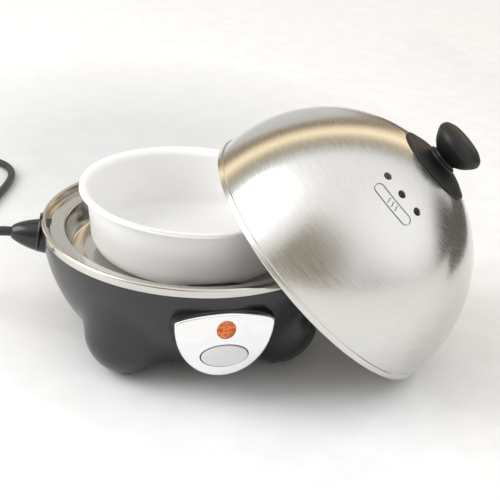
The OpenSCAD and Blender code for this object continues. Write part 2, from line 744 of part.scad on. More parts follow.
module knob_washer() {
  color([0.75, 0.75, 0.75]) at_lid() translate([0, 0, dome_h - sheet_t - washer_t]) difference() {
    cylinder(r = washer_r, h = washer_t);
    translate([0, 0, -1]) cylinder(r = knob_hole_r, h = 3);
  }
}

base_housing();
bottom_cover();
cover_screws();
foot_pads();
heating_dish();
dish_screws();
element_plate();
heating_element();
element_terminals();
heat_shield();
shield_screws();
thermostat();
thermal_fuse();
sensor_bracket();
panel_bezel();
lamp_lens();
neon_lamp();
lamp_holder();
push_button();
button_spring();
switch_body();
switch_bracket();
bracket_screws();
terminal_block();
internal_wires();
cord_clamp();
clamp_screws();
cord_hood();
inner_cord();
power_cord();
cord_coil();
cord_tie();
plug_body();
plug_pins();
poaching_bowl();
lid_shell();
knob_skirt();
knob_cap();
knob_screw();
knob_washer();
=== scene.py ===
# %% [markdown]
# # An electric egg cooker, leaning lid and all
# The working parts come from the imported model, which is already the right size.
# Here each visible casing gets a smoother surface, and every part gets its finish.
# The way of working: a shape is a function on a grid, or an outline turned about
# an axis, worked out with numpy as whole arrays and handed to Blender in one go.

# %% Load the frame
import json
import math
import bpy
import numpy as np
from mathutils import Matrix, Vector


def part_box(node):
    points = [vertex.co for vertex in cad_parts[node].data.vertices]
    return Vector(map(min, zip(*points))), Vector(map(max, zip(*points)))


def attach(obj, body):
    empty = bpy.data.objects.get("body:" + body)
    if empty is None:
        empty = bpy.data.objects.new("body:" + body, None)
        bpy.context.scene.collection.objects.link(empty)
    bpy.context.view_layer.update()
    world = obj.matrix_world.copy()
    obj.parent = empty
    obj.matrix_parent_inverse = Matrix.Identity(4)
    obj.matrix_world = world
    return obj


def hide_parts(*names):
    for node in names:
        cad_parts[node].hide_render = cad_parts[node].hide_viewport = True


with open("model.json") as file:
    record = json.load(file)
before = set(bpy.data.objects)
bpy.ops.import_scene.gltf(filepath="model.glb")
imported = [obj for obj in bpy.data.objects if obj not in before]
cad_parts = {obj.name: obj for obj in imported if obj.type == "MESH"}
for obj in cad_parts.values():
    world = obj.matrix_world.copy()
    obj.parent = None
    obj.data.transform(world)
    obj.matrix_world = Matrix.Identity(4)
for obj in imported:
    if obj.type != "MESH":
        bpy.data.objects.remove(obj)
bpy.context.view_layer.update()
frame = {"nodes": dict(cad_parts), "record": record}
record = frame["record"]
MM = 0.001

# %% [markdown]
# ## Driving sizes
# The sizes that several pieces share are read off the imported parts: the dish
# gives the rim, the bowl its lip, and the lid's own axis is the direction in
# which its joint slides. All are in metres from here on.

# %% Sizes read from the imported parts
dish_low, dish_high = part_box("heating_dish")
bowl_low, bowl_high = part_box("poaching_bowl")
shell_low, shell_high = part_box("base_housing")
bezel_low, bezel_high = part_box("panel_bezel")
dish_r = dish_high[0]
dish_top = dish_high[2]
lip_r = bowl_high[0]
bowl_top = bowl_high[2]
bowl_base = bowl_low[2]
seam_z = shell_high[2]
face_mid = -bezel_low[1]
lid_slide = next(j for j in record["behaviour"]["joints"] if j["name"] == "lid_lift")
lid_axis = np.array(lid_slide["axis"])
lid_tilt = math.acos(lid_axis[2])
lid_turn = math.atan2(lid_axis[1], lid_axis[0])
lid_r = dish_r - 0.4 * MM
lid_reach = lid_r - 9.2 * MM
lid_polar = lid_turn - math.radians(3.1)
lid_at = Vector((
    lid_reach * math.cos(lid_polar), lid_reach * math.sin(lid_polar), lid_r * math.sin(lid_tilt)))
TO_LID = Matrix.Translation(lid_at) @ Matrix.Rotation(lid_turn, 4, "Z") @ Matrix.Rotation(lid_tilt, 4, "Y")
print("dish radius", round(dish_r / MM, 1), "mm, lid tilt", round(math.degrees(lid_tilt), 1), "degrees")

# %% [markdown]
# ## The camera
# A short telephoto about 0.7 m away looks down at 27 degrees. The object frame
# is turned so that the panel faces -Y, so the camera stands to the left of it.
# The aim is kept as three small turns away from the base, and a roll.

# %% Camera
def add_camera():
    """The camera looks at a point over the base, then is turned aside, up and about its own axis."""
    elevation = math.radians(27.0)
    distance = 0.700
    azimuth = math.radians(-90.0 - 14.4)
    target = Vector((0, 0, 0.040))
    aside = math.radians(-3.179)
    lift = math.radians(1.257)
    roll = math.radians(3.7)
    level = math.cos(elevation)
    out = Vector((level * math.cos(azimuth), level * math.sin(azimuth), math.sin(elevation)))
    forward = -out
    right = forward.cross(Vector((0, 0, 1))).normalized()
    up = right.cross(forward)
    right_1 = math.cos(aside) * right + math.sin(aside) * forward
    forward_1 = -math.sin(aside) * right + math.cos(aside) * forward
    up_1 = math.cos(lift) * up - math.sin(lift) * forward_1
    forward_2 = math.sin(lift) * up + math.cos(lift) * forward_1
    right_2 = math.cos(roll) * right_1 + math.sin(roll) * up_1
    up_2 = -math.sin(roll) * right_1 + math.cos(roll) * up_1
    data = bpy.data.cameras.new("camera")
    data.sensor_width = 36
    data.lens = 78.43
    camera = bpy.data.objects.new("camera", data)
    turn = Matrix((right_2, up_2, -forward_2)).transposed().to_4x4()
    camera.matrix_world = Matrix.Translation(out * distance + target) @ turn
    bpy.context.scene.collection.objects.link(camera)
    bpy.context.scene.camera = camera
    return camera


camera = add_camera()
print("camera at", [round(v, 3) for v in camera.matrix_world.translation], "lens", round(camera.data.lens, 1))

# %% [markdown]
# ## Surfaces from numbers
# Every new shape is a grid of points. One helper hands a grid to Blender, one
# rounds the corners of an outline, and one turns an outline about the Z axis.
# With these three, a pan, a dome and a knob differ only in their outline.

# %% Mesh helpers
def enclosed(corners):
    """Six times the volume inside (m, 4, 3) quads; it is negative when they face inwards."""
    return sum(np.einsum("ij,ij->i", corners[:, 0], np.cross(corners[:, k], corners[:, k + 1])).sum()
               for k in (1, 2))


def outward(points, faces):
    """The faces, each turned round if the volume that they enclose comes out negative."""
    return faces if enclosed(points[faces]) > 0 else faces[:, ::-1]


def used_only(points, faces):
    """The points that some face uses, and the faces numbered to match."""
    used, flat = np.unique(faces, return_inverse=True)
    return points[used], flat.reshape(faces.shape)


def close_ends(faces, columns, rows):
    """Draws the first and the last row of a grid in to one point each, in place."""
    last = (rows - 1) * columns
    faces[:columns] = np.where(faces[:columns] < columns, 0, faces[:columns])
    faces[-columns:] = np.where(faces[-columns:] >= last, last, faces[-columns:])


def add_piece(name, points, faces, body, uv=None, crease=35):
    """A mesh object from (n, 3) points in metres and (m, 4) corner numbers; uv is one pair per corner."""
    mesh = bpy.data.meshes.new(name)
    turned_round = outward(points, faces)
    if uv is not None and turned_round is not faces:
        uv = uv[:, ::-1]
    faces = turned_round
    mesh.from_pydata(points.tolist(), [], [list(dict.fromkeys(face)) for face in faces.tolist()])
    if uv is not None:
        layer = mesh.uv_layers.new(name="turns")
        corners = np.concatenate([uv[k][: len(dict.fromkeys(face))] for k, face in enumerate(faces.tolist())])
        layer.data.foreach_set("uv", corners.ravel())
    mesh.polygons.foreach_set("use_smooth", np.ones(len(mesh.polygons), dtype=bool))
    mesh.set_sharp_from_angle(angle=math.radians(crease))
    piece = bpy.data.objects.new(name, mesh)
    bpy.context.scene.collection.objects.link(piece)
    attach(piece, body)
    return piece


def grid_faces(rows, columns, wrap_rows=False, wrap_columns=True):
    """Corner numbers of the quads between neighbouring rows and columns of a grid stored row by row."""
    i = np.arange(rows if wrap_rows else rows - 1)[:, None]
    k = np.arange(columns if wrap_columns else columns - 1)[None, :]
    down, across = (i + 1) % rows, (k + 1) % columns
    quads = np.stack(np.broadcast_arrays(i * columns + k, down * columns + k, down * columns + across,
                                         i * columns + across), axis=-1)
    return quads.reshape(-1, 4)


def arc(centre, radius, start, end, count=8):
    """Points at equal angles, in degrees, on a circle about a centre in the plane of an outline."""
    angle = np.radians(np.linspace(start, end, count))
    return np.column_stack([centre[0] + radius * np.cos(angle), centre[1] + radius * np.sin(angle)])


def rounded(corners, count=6):
    """An outline through corners (x, y, radius), each bend being a circle that touches both of its sides."""
    corners = np.array(corners, dtype=float)
    pieces = [corners[:1, :2]]
    for before, here, after in zip(corners[:-2], corners[1:-1], corners[2:]):
        back, ahead = before[:2] - here[:2], after[:2] - here[:2]
        back, ahead = back / np.linalg.norm(back), ahead / np.linalg.norm(ahead)
        half = 0.5 * math.acos(float(np.clip(back @ ahead, -1, 1)))
        if here[2] <= 0 or half > 1.565:
            pieces.append(here[None, :2])
            continue
        reach = here[2] / math.tan(half)
        middle = here[:2] + (back + ahead) / np.linalg.norm(back + ahead) * here[2] / math.sin(half)
        first, last = here[:2] + back * reach - middle, here[:2] + ahead * reach - middle
        share = np.linspace(0, 1, count)[:, None]
        sweep = math.pi - 2 * half
        bend = (np.sin((1 - share) * sweep) * first + np.sin(share * sweep) * last) / math.sin(sweep)
        pieces.append(middle + bend)
    pieces.append(corners[-1:, :2])
    return np.concatenate(pieces)


def walled(path, wall):
    """A closed outline: the path, a round end, the path moved sideways by the wall and a square start."""
    step = np.gradient(path, axis=0)
    side = np.column_stack([step[:, 1], -step[:, 0]]) / np.linalg.norm(step, axis=1)[:, None]
    inner = path + side * wall
    along = step[-1] / np.linalg.norm(step[-1])
    turn = np.linspace(0, np.pi, 7)[1:-1, None]
    middle = (path[-1] + inner[-1]) / 2
    end = middle + (path[-1] - middle) * np.cos(turn) + along * wall / 2 * np.sin(turn)
    return np.concatenate([path, end, inner[::-1]])


def turned(name, outline, body, place=None, segments=192, crease=35):
    """An outline (radius, height) in mm turned about Z and closed on the axis; U runs round, V along."""
    outline = np.asarray(outline, dtype=float) * MM
    angle = np.linspace(0, 2 * np.pi, segments, endpoint=False)
    radius, height = outline[:, 0][:, None], outline[:, 1][:, None]
    points = np.stack(np.broadcast_arrays(radius * np.cos(angle), radius * np.sin(angle), height), axis=-1)
    points = points.reshape(-1, 3)
    faces = grid_faces(len(outline), segments)
    run = np.concatenate([[0], np.cumsum(np.linalg.norm(np.diff(outline, axis=0), axis=1))]) / 0.1
    column, row = faces[:, 0] % segments, faces[:, 0] // segments
    turn_a, turn_b = column / segments, (column + 1) / segments
    uv = np.stack([np.stack([turn_a, run[row]], -1), np.stack([turn_a, run[row + 1]], -1),
                   np.stack([turn_b, run[row + 1]], -1), np.stack([turn_b, run[row]], -1)], axis=1)
    on_axis = np.where(outline[:, 0] < 1e-7)[0]
    for r in on_axis:
        ring = (faces // segments) == r
        faces = np.where(ring, r * segments, faces)
    points, faces = used_only(points, faces)
    if place is not None:
        points = points @ np.array(place.to_3x3()).T + np.array(place.translation)
    return add_piece(name, points, faces, body, uv, crease)


def cut(piece, cutters):
    """Takes the closed cutters away from a piece and keeps the result as its mesh."""
    for cutter in cutters:
        trim = piece.modifiers.new("cut", "BOOLEAN")
        trim.object = cutter
        trim.operation = "DIFFERENCE"
        trim.solver = "EXACT"
    bpy.context.view_layer.update()
    made = bpy.data.meshes.new_from_object(piece.evaluated_get(bpy.context.evaluated_depsgraph_get()))
    piece.modifiers.clear()
    old = piece.data
    piece.data = made
    bpy.data.meshes.remove(old)
    for cutter in cutters:
        bpy.data.objects.remove(cutter)
    made.name = piece.name
    made.set_sharp_from_angle(angle=math.radians(35))


def rod(start, end, radius, sides=48):
    """A plain closed rod between two points, used only to drill with."""
    start, end = np.array(start, dtype=float), np.array(end, dtype=float)
    along = (end - start) / np.linalg.norm(end - start)
    side = np.cross(along, [0.3, 0.5, 0.8])
    side /= np.linalg.norm(side)
    other = np.cross(along, side)
    angle = np.linspace(0, 2 * np.pi, sides, endpoint=False)[:, None]
    ring = radius * (np.cos(angle) * side + np.sin(angle) * other)
    return cutter(np.concatenate([start + ring, end + ring]))


def cutter(points):
    """A closed solid between two loops of equal count, the first loop's points being listed first."""
    count = len(points) // 2
    middle = points.mean(axis=0)
    walls = grid_faces(2, count)
    near, far = list(range(count)), list(range(count, 2 * count))
    if enclosed(points[walls] - middle) < 0:
        walls, far = walls[:, ::-1], far[::-1]
    else:
        near = near[::-1]
    mesh = bpy.data.meshes.new("cutter")
    mesh.from_pydata(points.tolist(), [], walls.tolist() + [near, far])
    tool = bpy.data.objects.new("cutter", mesh)
    bpy.context.scene.collection.objects.link(tool)
    return tool


def oval(half_width, up, down, full_up=2.0, full_down=2.0, count=160):
    """A closed outline whose upper and lower halves are super-ellipses: |x/a|^p + |y/b|^p = 1."""
    angle = np.linspace(0, 2 * np.pi, count, endpoint=False)
    cos, sin = np.cos(angle), np.sin(angle)
    power = np.where(sin > 0, full_up, full_down)
    height = np.where(sin > 0, up, down)
    return np.column_stack([half_width * np.sign(cos) * np.abs(cos) ** (2 / power),
                            height * np.sign(sin) * np.abs(sin) ** (2 / power)])


def prism(outline, y_near, y_far):
    """A plain closed prism from an outline (x, z) between two depths, used only to cut with."""
    count = len(outline)
    near = np.column_stack([outline[:, 0], np.full(count, y_near), outline[:, 1]])
    far = np.column_stack([outline[:, 0], np.full(count, y_far), outline[:, 1]])
    return cutter(np.concatenate([near, far]))


# %% [markdown]
# ## The mains cord
# A kitchen cord is a soft, round, 6 mm lead. It leaves the base through a
# tapered sleeve, drops to the table and runs off to the back; the spare length
# is wound into a coil. The route's points are listed and joined by a
# smooth curve, and the coil is a helix of a few turns that climbs a little.

# %% Cord route
CORD_R = 3.0
ROUTE = np.array([
    [-109, 21, 62.5], [-117, 23, 62], [-126, 26, 59], [-135, 30, 53], [-143, 35, 44],
    [-149, 41, 33], [-153, 50, 21], [-155, 61, 11], [-155, 74, 5], [-153, 90, 3.2], [-149, 110, 3.2],
    [-143, 130, 3.2], [-135, 150, 3.2], [-126, 170, 3.2], [-118, 187, 3.2], [-110, 204, 3.2],
    [-102, 222, 3.2], [-95, 240, 3.2], [-91, 256, 3.2], [-92, 272, 3.2], [-99, 285, 3.2],
    [-110, 293, 3.2], [-124, 297, 3.2], [-140, 298, 3.4]], dtype=float)
TAIL = np.array([[-198, 263, 3.6], [-198, 250, 4], [-198, 240, 6], [-198, 231, 8]], dtype=float)
COIL_AT = np.array([-165.0, 265.0])
COIL_R = 33.0
COIL_TURNS = 3.0


def coil_points():
    """A circle that climbs: three turns from the far side round to the tail, the middle one on top."""
    start, count = math.radians(90), 90
    sweep = 2 * math.pi * (COIL_TURNS + 0.25)
    t = np.linspace(0, 1, count)
    angle = start + sweep * t
    lift = 3.4 + 5.4 * np.sin(np.pi * np.clip((t - 0.28) / 0.44, 0, 1)) ** 0.6
    radius = COIL_R + 3.1 * np.cos(2 * np.pi * t) * np.where(t < 0.5, 1, -1)
    return np.column_stack([COIL_AT[0] + radius * np.cos(angle), COIL_AT[1] + radius * np.sin(angle), lift])


def smooth_path(points, per_step=6):
    """A Catmull-Rom curve: each stretch is the cubic whose end slopes join its neighbours' points."""
    padded = np.vstack([2 * points[0] - points[1], points, 2 * points[-1] - points[-2]])
    t = np.linspace(0, 1, per_step, endpoint=False)[None, :, None]
    a, b, c, d = (padded[i:len(padded) - 3 + i][:, None, :] for i in range(4))
    curve = 0.5 * (2 * b + (c - a) * t + (2 * a - 5 * b + 4 * c - d) * t**2 + (3 * b - a - 3 * c + d) * t**3)
    return np.vstack([curve.reshape(-1, 3), points[-1:]])


def tube(name, path, radius, body, sides=20):
    """A round tube in metres along a path in millimetres, with a cross-section that never twists."""
    path = path * MM
    along = np.gradient(path, axis=0)
    along /= np.linalg.norm(along, axis=1)[:, None]
    side = np.cross(along, [0.02, 0.01, 1.0])
    side /= np.linalg.norm(side, axis=1)[:, None]
    other = np.cross(along, side)
    angle = np.linspace(0, 2 * np.pi, sides, endpoint=False)[None, :, None]
    radius = np.broadcast_to(np.asarray(radius, dtype=float) * MM, (len(path),))[:, None, None]
    rings = path[:, None, :] + radius * (np.cos(angle) * side[:, None, :] + np.sin(angle) * other[:, None, :])
    first, last = (np.broadcast_to(end, (1, sides, 3)) for end in (path[0], path[-1]))
    rings = np.concatenate([first, rings, last])
    faces = grid_faces(len(rings), sides)
    close_ends(faces, sides, len(rings))
    points, faces = used_only(rings.reshape(-1, 3), faces)
    return add_piece(name, points, faces[:, ::-1], body)


# %% Cord piece
route = smooth_path(ROUTE)
coil = coil_points()
entry = smooth_path(np.vstack([ROUTE[-3:], coil[2:5]]), 6)
tail = smooth_path(np.vstack([coil[-3:], TAIL]), 5)
cord_path = np.vstack([route[:-12], entry[2:-4], coil[4:-2], tail[5:]])
mains_cord = tube("mains_cord", cord_path, CORD_R, "base")
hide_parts("power_cord", "cord_coil")

# %% [markdown]
# ## The black housing
# The base is one glossy black moulding: a bowl, very nearly part of a ball, that
# grows four egg-shaped feet. On the real part the mould blends them softly.
# Here the distance to the ball and to each egg are mixed with a smooth minimum,
# and the surface is found along rays from a point inside, by halving a step.

# %% Housing shape
BALL_R = dish_r / MM - 0.2
BALL_Z = seam_z / MM + 6.2
FOOT_R = 26.0
FOOT_POLAR = dish_r / MM - 27.0
FLOOR_Z = 9.0
COVER_R = 44.3
EYE_Z = 55.0
HOUSING_WALL = 2.6
# The upper half of each egg is stretched by this, and each foot ends flat at its sole.
EGG_STRETCH, SOLE_Z = 0.74, 1.6
# How far each pair of surfaces is blended.
FLOOR_BLEND, FOOT_BLEND, SOLE_BLEND = 4.0, 7.0, 1.2


def soft_min(a, b, reach):
    """The smaller of two distances, rounded off where they are nearly equal."""
    mix = np.clip(0.5 + 0.5 * (b - a) / reach, 0, 1)
    return b * (1 - mix) + a * mix - reach * mix * (1 - mix)


def housing_distance(x, y, z):
    """Negative inside: a ball joined softly to four eggs, cut flat at the floor and at the table."""
    ball = np.sqrt(x**2 + y**2 + (z - BALL_Z) ** 2) - BALL_R
    ball = -soft_min(-ball, z - FLOOR_Z, FLOOR_BLEND)
    shape = ball
    for turn in np.radians([45, 135, 225, 315]):
        dx, dy = x - FOOT_POLAR * math.cos(turn), y - FOOT_POLAR * math.sin(turn)
        dz = z - FOOT_R
        dz = np.where(dz > 0, dz * EGG_STRETCH, dz)
        egg = np.sqrt(dx**2 + dy**2 + dz**2) - FOOT_R
        shape = soft_min(shape, egg, FOOT_BLEND)
    return -soft_min(-shape, z - SOLE_Z, SOLE_BLEND)


def housing_grid(turns=480, drops=220):
    """Where rays from a point on the axis leave the shape: rows fall from the seam to the bottom opening."""
    seam_z_mm = seam_z / MM
    first = math.atan2(seam_z_mm - EYE_Z, math.sqrt(BALL_R**2 - (seam_z_mm - BALL_Z) ** 2))
    last = math.atan2(FLOOR_Z - EYE_Z, COVER_R)
    turn = np.linspace(0, 2 * np.pi, turns, endpoint=False)[None, :]
    drop = np.linspace(first, last, drops)[:, None]
    dx, dy, dz = np.cos(drop) * np.cos(turn), np.cos(drop) * np.sin(turn), np.sin(drop) + 0 * turn
    near, far = np.full(dx.shape, 20.0), np.full(dx.shape, 150.0)
    for _ in range(30):
        half = (near + far) / 2
        inside = housing_distance(dx * half, dy * half, EYE_Z + dz * half) < 0
        near, far = np.where(inside, half, near), np.where(inside, far, half)
    reach = (near + far) / 2
    return np.stack([dx * reach, dy * reach, EYE_Z + dz * reach], axis=-1)


def add_housing():
    """The outer surface and an inner one a wall further in, joined at the seam and at the bottom opening."""
    outer = housing_grid()
    rows, columns = outer.shape[:2]
    outer[0, :, 2] = seam_z / MM
    outer[-1, :, 2] = FLOOR_Z
    eye = np.array([0, 0, EYE_Z])
    inward = eye - outer
    inner = outer + inward / np.linalg.norm(inward, axis=-1, keepdims=True) * HOUSING_WALL
    narrower = 1 - HOUSING_WALL / BALL_R
    inner[0] = outer[0] * [narrower, narrower, 1]
    inner[-1] = outer[-1] + [0, 0, HOUSING_WALL]
    rings = np.concatenate([outer, inner[::-1]])
    faces = grid_faces(len(rings), columns, wrap_rows=True)
    return add_piece("housing_shell", rings.reshape(-1, 3) * MM, faces, "base")


housing = add_housing()
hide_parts("base_housing")
print("housing faces", len(housing.data.polygons))

# %% [markdown]
# ## The control panel
# The panel is a chromed shield: a gentle arch on top and a deep round below,
# both halves being super-ellipses. It sits on a black boss, in a narrow groove
# that shows as a dark line. The lamp and the button come through it.

# %% Panel sizes
PANEL_A, PANEL_UP, PANEL_DOWN, PANEL_Z = 29.3, 6.7, 33.9, 54.0
PANEL_T, PANEL_CROWN = 1.8, 2.5
LENS_R, LENS_Z = 5.5, 50.9
BUTTON_A, BUTTON_B, BUTTON_Z = 13.7, 6.7, 34.2
FACE_MID = face_mid / MM
FACE_Y = FACE_MID - PANEL_CROWN
SEAT_Y = FACE_Y - PANEL_T
CROWN_BALL_R = (PANEL_A**2 + PANEL_CROWN**2) / (2 * PANEL_CROWN)
PANEL_MID_Z = PANEL_Z + (PANEL_UP - PANEL_DOWN) / 2
# Cuts start well outside the panel, and end inside the housing: in the panel, and behind the button.
CUT_FROM, CUT_TO, BUTTON_CUT_TO = -0.2, -0.05, -0.06


def shield(grow):
    """The panel's outline in millimetres, (x, z), grown by a margin all round."""
    return oval(PANEL_A + grow, PANEL_UP + grow, PANEL_DOWN + grow, 1.8, 2.05) + [0, PANEL_Z]


def button_outline(grow):
    """The button's outline in millimetres, (x, z), grown by a margin all round."""
    return oval(BUTTON_A + grow, BUTTON_B + grow, BUTTON_B + grow) + [0, BUTTON_Z]


def swell(outline):
    """How far out the panel's face is at points (x, z): a shallow ball that is highest in the middle."""
    across = outline[:, 0] ** 2 + (outline[:, 1] - PANEL_MID_Z) ** 2
    return FACE_MID - CROWN_BALL_R + np.sqrt(CROWN_BALL_R**2 - across)


def domed_plate(name, outlines, depths, body, crease=40):
    """Rings of equal count at given depths outwards along -Y, closed by a point at each end."""
    rings = [np.column_stack([ring[:, 0], -depth * np.ones(len(ring)), ring[:, 1]])
             for ring, depth in zip(outlines, depths)]
    first, last = rings[0].mean(axis=0), rings[-1].mean(axis=0)
    count = len(rings[0])
    rings = [np.tile(first, (count, 1))] + rings + [np.tile(last, (count, 1))]
    points = np.concatenate(rings) * MM
    faces = grid_faces(len(rings), count)
    close_ends(faces, count, len(rings))
    points, faces = used_only(points, faces)
    return add_piece(name, points, faces[:, ::-1], body, crease=crease)


def shrunk(outline, share):
    """An outline drawn in towards the middle of its box."""
    middle = (outline.min(axis=0) + outline.max(axis=0)) / 2
    return middle + (outline - middle) * share


# %% Panel boss and bezel
def add_panel():
    """A boss that fills the cut in the housing, and a chromed plate with a rounded edge and two openings."""
    cut(housing, [prism(shield(0.85) * MM, CUT_FROM, -(SEAT_Y - 3.5) * MM),
                  prism(button_outline(1.6) * MM, CUT_FROM, BUTTON_CUT_TO)])
    boss_edge = [(0, 58.0), (0, SEAT_Y - 0.9), (-0.25, SEAT_Y - 0.3), (-0.9, SEAT_Y - 0.02)]
    boss = domed_plate("panel_boss", [shield(0.8 + g) for g, _ in boss_edge] + [shrunk(shield(0), 0.5)],
                       [d for _, d in boss_edge] + [SEAT_Y - 0.02], "base")
    edge = 1.3
    bends = np.linspace(0, np.pi / 2, 7)
    outlines = [shield(0)] + [shield(-edge * (1 - math.cos(b))) for b in bends]
    depths = [SEAT_Y] + [swell(ring) - edge * (1 - math.sin(b)) for ring, b in zip(outlines[1:], bends)]
    faces_in = [shrunk(shield(-edge), s) for s in np.linspace(0.96, 0.04, 16)]
    outlines += faces_in
    depths += [swell(ring) for ring in faces_in]
    bezel = domed_plate("panel_bezel_skin", outlines, depths, "base")
    for piece, gap in ((bezel, 0.15), (boss, 0.3)):
        cut(piece, [rod((0, CUT_FROM, LENS_Z * MM), (0, CUT_TO, LENS_Z * MM), (LENS_R + gap) * MM, 96),
                    prism(button_outline(0.75) * MM, CUT_FROM, CUT_TO)])
    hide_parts("panel_bezel")
    return boss, bezel


def add_liner():
    """A thin black oval bush that lines the button's opening and shows as a dark line around the button."""
    rings = [(0.72, SEAT_Y - 3.0), (0.72, FACE_MID - 0.35), (0.32, FACE_MID - 0.35), (0.32, SEAT_Y - 3.0)]
    loops = [(button_outline(grow), depth) for grow, depth in rings]
    points = np.concatenate([np.column_stack([loop[:, 0], np.full(len(loop), -depth), loop[:, 1]])
                             for loop, depth in loops])
    faces = grid_faces(len(loops), len(loops[0][0]), wrap_rows=True)
    return add_piece("button_bush", points * MM, faces[:, ::-1], "base")


boss, bezel = add_panel()
bush = add_liner()
print("panel", round(2 * PANEL_A, 1), "mm wide,", round(PANEL_UP + PANEL_DOWN, 1), "mm high")

# %% [markdown]
# ## The lamp's lens
# The lens is a clear orange plug with a low dome, moulded with small pyramids
# that scatter the light of the lamp behind it. The pyramids are a formula laid
# over the dome, so that they stay even right up to the plain rim.

# %% Lamp lens
def add_lens():
    """A low dome whose front carries a grid of small pyramids, as moulded to scatter the lamp's light."""
    rows, columns = 40, 96
    share = np.linspace(1, 0, rows)[:, None]
    angle = np.linspace(0, 2 * np.pi, columns, endpoint=False)[None, :]
    x, z = (LENS_R - 0.15) * share * np.cos(angle), (LENS_R - 0.15) * share * np.sin(angle)
    pitch = 1.15
    ridge = np.abs((x + z) / pitch % 1 - 0.5) + np.abs((x - z) / pitch % 1 - 0.5)
    y = FACE_MID + 0.6 - 0.9 * share**2.5 - 0.34 * ridge * np.clip((1 - share) * 9, 0, 1)
    front = np.stack(np.broadcast_arrays(x, -y, z + LENS_Z), axis=-1).reshape(-1, 3)
    back = front[:columns] * [1, 0, 1] - [0, FACE_Y - 5.0, 0]
    points = np.concatenate([back, front])
    faces = grid_faces(rows + 1, columns)
    end = rows * columns
    faces[-columns:] = np.where(faces[-columns:] >= end, end, faces[-columns:])
    around = np.arange(columns)
    closing = np.stack([np.full(columns, len(points)), around, (around + 1) % columns], -1)
    closing = np.column_stack([closing, closing[:, 0]])
    points = np.concatenate([points, [[0, -(FACE_Y - 5.0), LENS_Z]]])
    faces = np.concatenate([closing, faces])
    points, faces = used_only(points, faces)
    return add_piece("lamp_lens_cut", points * MM, faces[:, ::-1], "base", crease=20)


lens = add_lens()
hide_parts("lamp_lens")
print("lens", 2 * LENS_R, "mm across")

# %% [markdown]
# ## The push button
# The button is an oval key moulded in satin plastic. A flange behind the panel
# keeps it in. It is a stack of ovals, each set back by the curve of its edge.

# %% Push button
def add_button():
    """An oval key with a rolled edge and a slightly pillowed face."""
    bends = np.linspace(0, np.pi / 2, 6)
    edge = 0.9
    top = FACE_MID + 1.5
    outlines = [button_outline(1.1), button_outline(1.1), button_outline(0)]
    depths = [SEAT_Y - 4.2, SEAT_Y - 2.8, SEAT_Y - 2.8]
    outlines += [button_outline(-edge * (1 - math.cos(b))) for b in bends]
    depths += [top - 0.5 - edge * (1 - math.sin(b)) for b in bends]
    shares = np.linspace(0.9, 0.06, 10)
    outlines += [shrunk(button_outline(-edge), s) for s in shares]
    depths += [top - 0.5 * s**2 for s in shares]
    return domed_plate("push_button_cap", outlines, depths, "button")


button = add_button()
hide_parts("push_button")
print("button", round(2 * BUTTON_A, 1), "by", round(2 * BUTTON_B, 1), "mm")

# %% [markdown]
# ## The heating dish
# The dish is pressed from one sheet of polished steel: a rolled bead on the
# rim, a narrow gutter, a flat ledge, then a deep well whose floor has a ring
# step. Such a pressing is an outline turned about the axis, with real bend radii.

# %% Dish
BAND_H, BEAD_W, GUTTER_W, LEDGE_W = 5.0, 3.0, 2.0, 9.3
WELL_D, WELL_DRAFT, FLOOR_RING, FLOOR_STEP = 15.6, 4.2, 8.0, 1.0
SHEET_T = 0.8
DISH_R, DISH_TOP = dish_r / MM, dish_top / MM
LEDGE_Z = DISH_TOP - BAND_H
MOUTH_R = DISH_R - BEAD_W - GUTTER_W - LEDGE_W
WELL_R = MOUTH_R - WELL_DRAFT
STEP_R = WELL_R - FLOOR_RING
RING_Z = LEDGE_Z - WELL_D


def add_dish():
    """The sheet's upper side from the middle outwards, given its thickness on the lower side."""
    path = rounded([
        (0, RING_Z + FLOOR_STEP, 0), (STEP_R, RING_Z + FLOOR_STEP, 0.5), (STEP_R + 1.1, RING_Z, 0.6),
        (WELL_R, RING_Z, 2.4), (MOUTH_R, LEDGE_Z, 1.4), (MOUTH_R + LEDGE_W, LEDGE_Z, 0.8),
        (MOUTH_R + LEDGE_W + 0.5, LEDGE_Z - 1.0, 0.5), (DISH_R - BEAD_W - 0.1, LEDGE_Z - 1.0, 0.7),
        (DISH_R - BEAD_W, DISH_TOP, 1.3), (DISH_R, DISH_TOP, 1.6), (DISH_R, LEDGE_Z + 0.05, 0)], 8)
    outline = walled(path, SHEET_T)
    return turned("steam_dish", outline[::-1], "base", segments=256)


dish = add_dish()
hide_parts("heating_dish")
print("dish well", round(2 * WELL_R, 1), "mm across,", WELL_D, "mm deep")

# %% [markdown]
# ## The poaching bowl
# A plain white bowl with nearly upright sides, a soft bend to its floor and a
# rim that turns outwards to a flat lip. It stands in the well on its floor.

# %% Bowl
BOWL_T, LIP_W, BOWL_BEND, BOWL_DRAFT = 2.2, 4.5, 14.0, 5.0
LIP_R, BOWL_TOP, BOWL_Z = lip_r / MM, bowl_top / MM, bowl_base / MM
BOWL_R = LIP_R - LIP_W


def add_bowl():
    """The bowl's outer side from the middle of its foot up to the lip, given its thickness inwards."""
    path = rounded([
        (0, BOWL_Z + 0.6, 0), (40, BOWL_Z + 0.6, 1.0), (41.2, BOWL_Z, 0.6),
        (BOWL_R - BOWL_DRAFT - 0.4, BOWL_Z, BOWL_BEND),
        (BOWL_R - 0.6, BOWL_TOP - 2.6, 3.0), (LIP_R - 0.6, BOWL_TOP - 2.1, 0)], 12)
    outline = walled(path, -BOWL_T)
    return turned("egg_bowl", outline, "bowl", segments=224)


bowl = add_bowl()
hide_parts("poaching_bowl")
print("bowl", round(2 * LIP_R, 1), "mm across its lip,", round(BOWL_TOP - BOWL_Z, 1), "mm high")

# %% [markdown]
# ## The lid
# A drawn and brushed steel dome with a straight hem around its mouth, a fine
# groove above the hem, a flat crown for the knob and three steam vents. The
# outline is a quarter ellipse; the whole lid is turned on its own axis, then
# moved to where it leans.

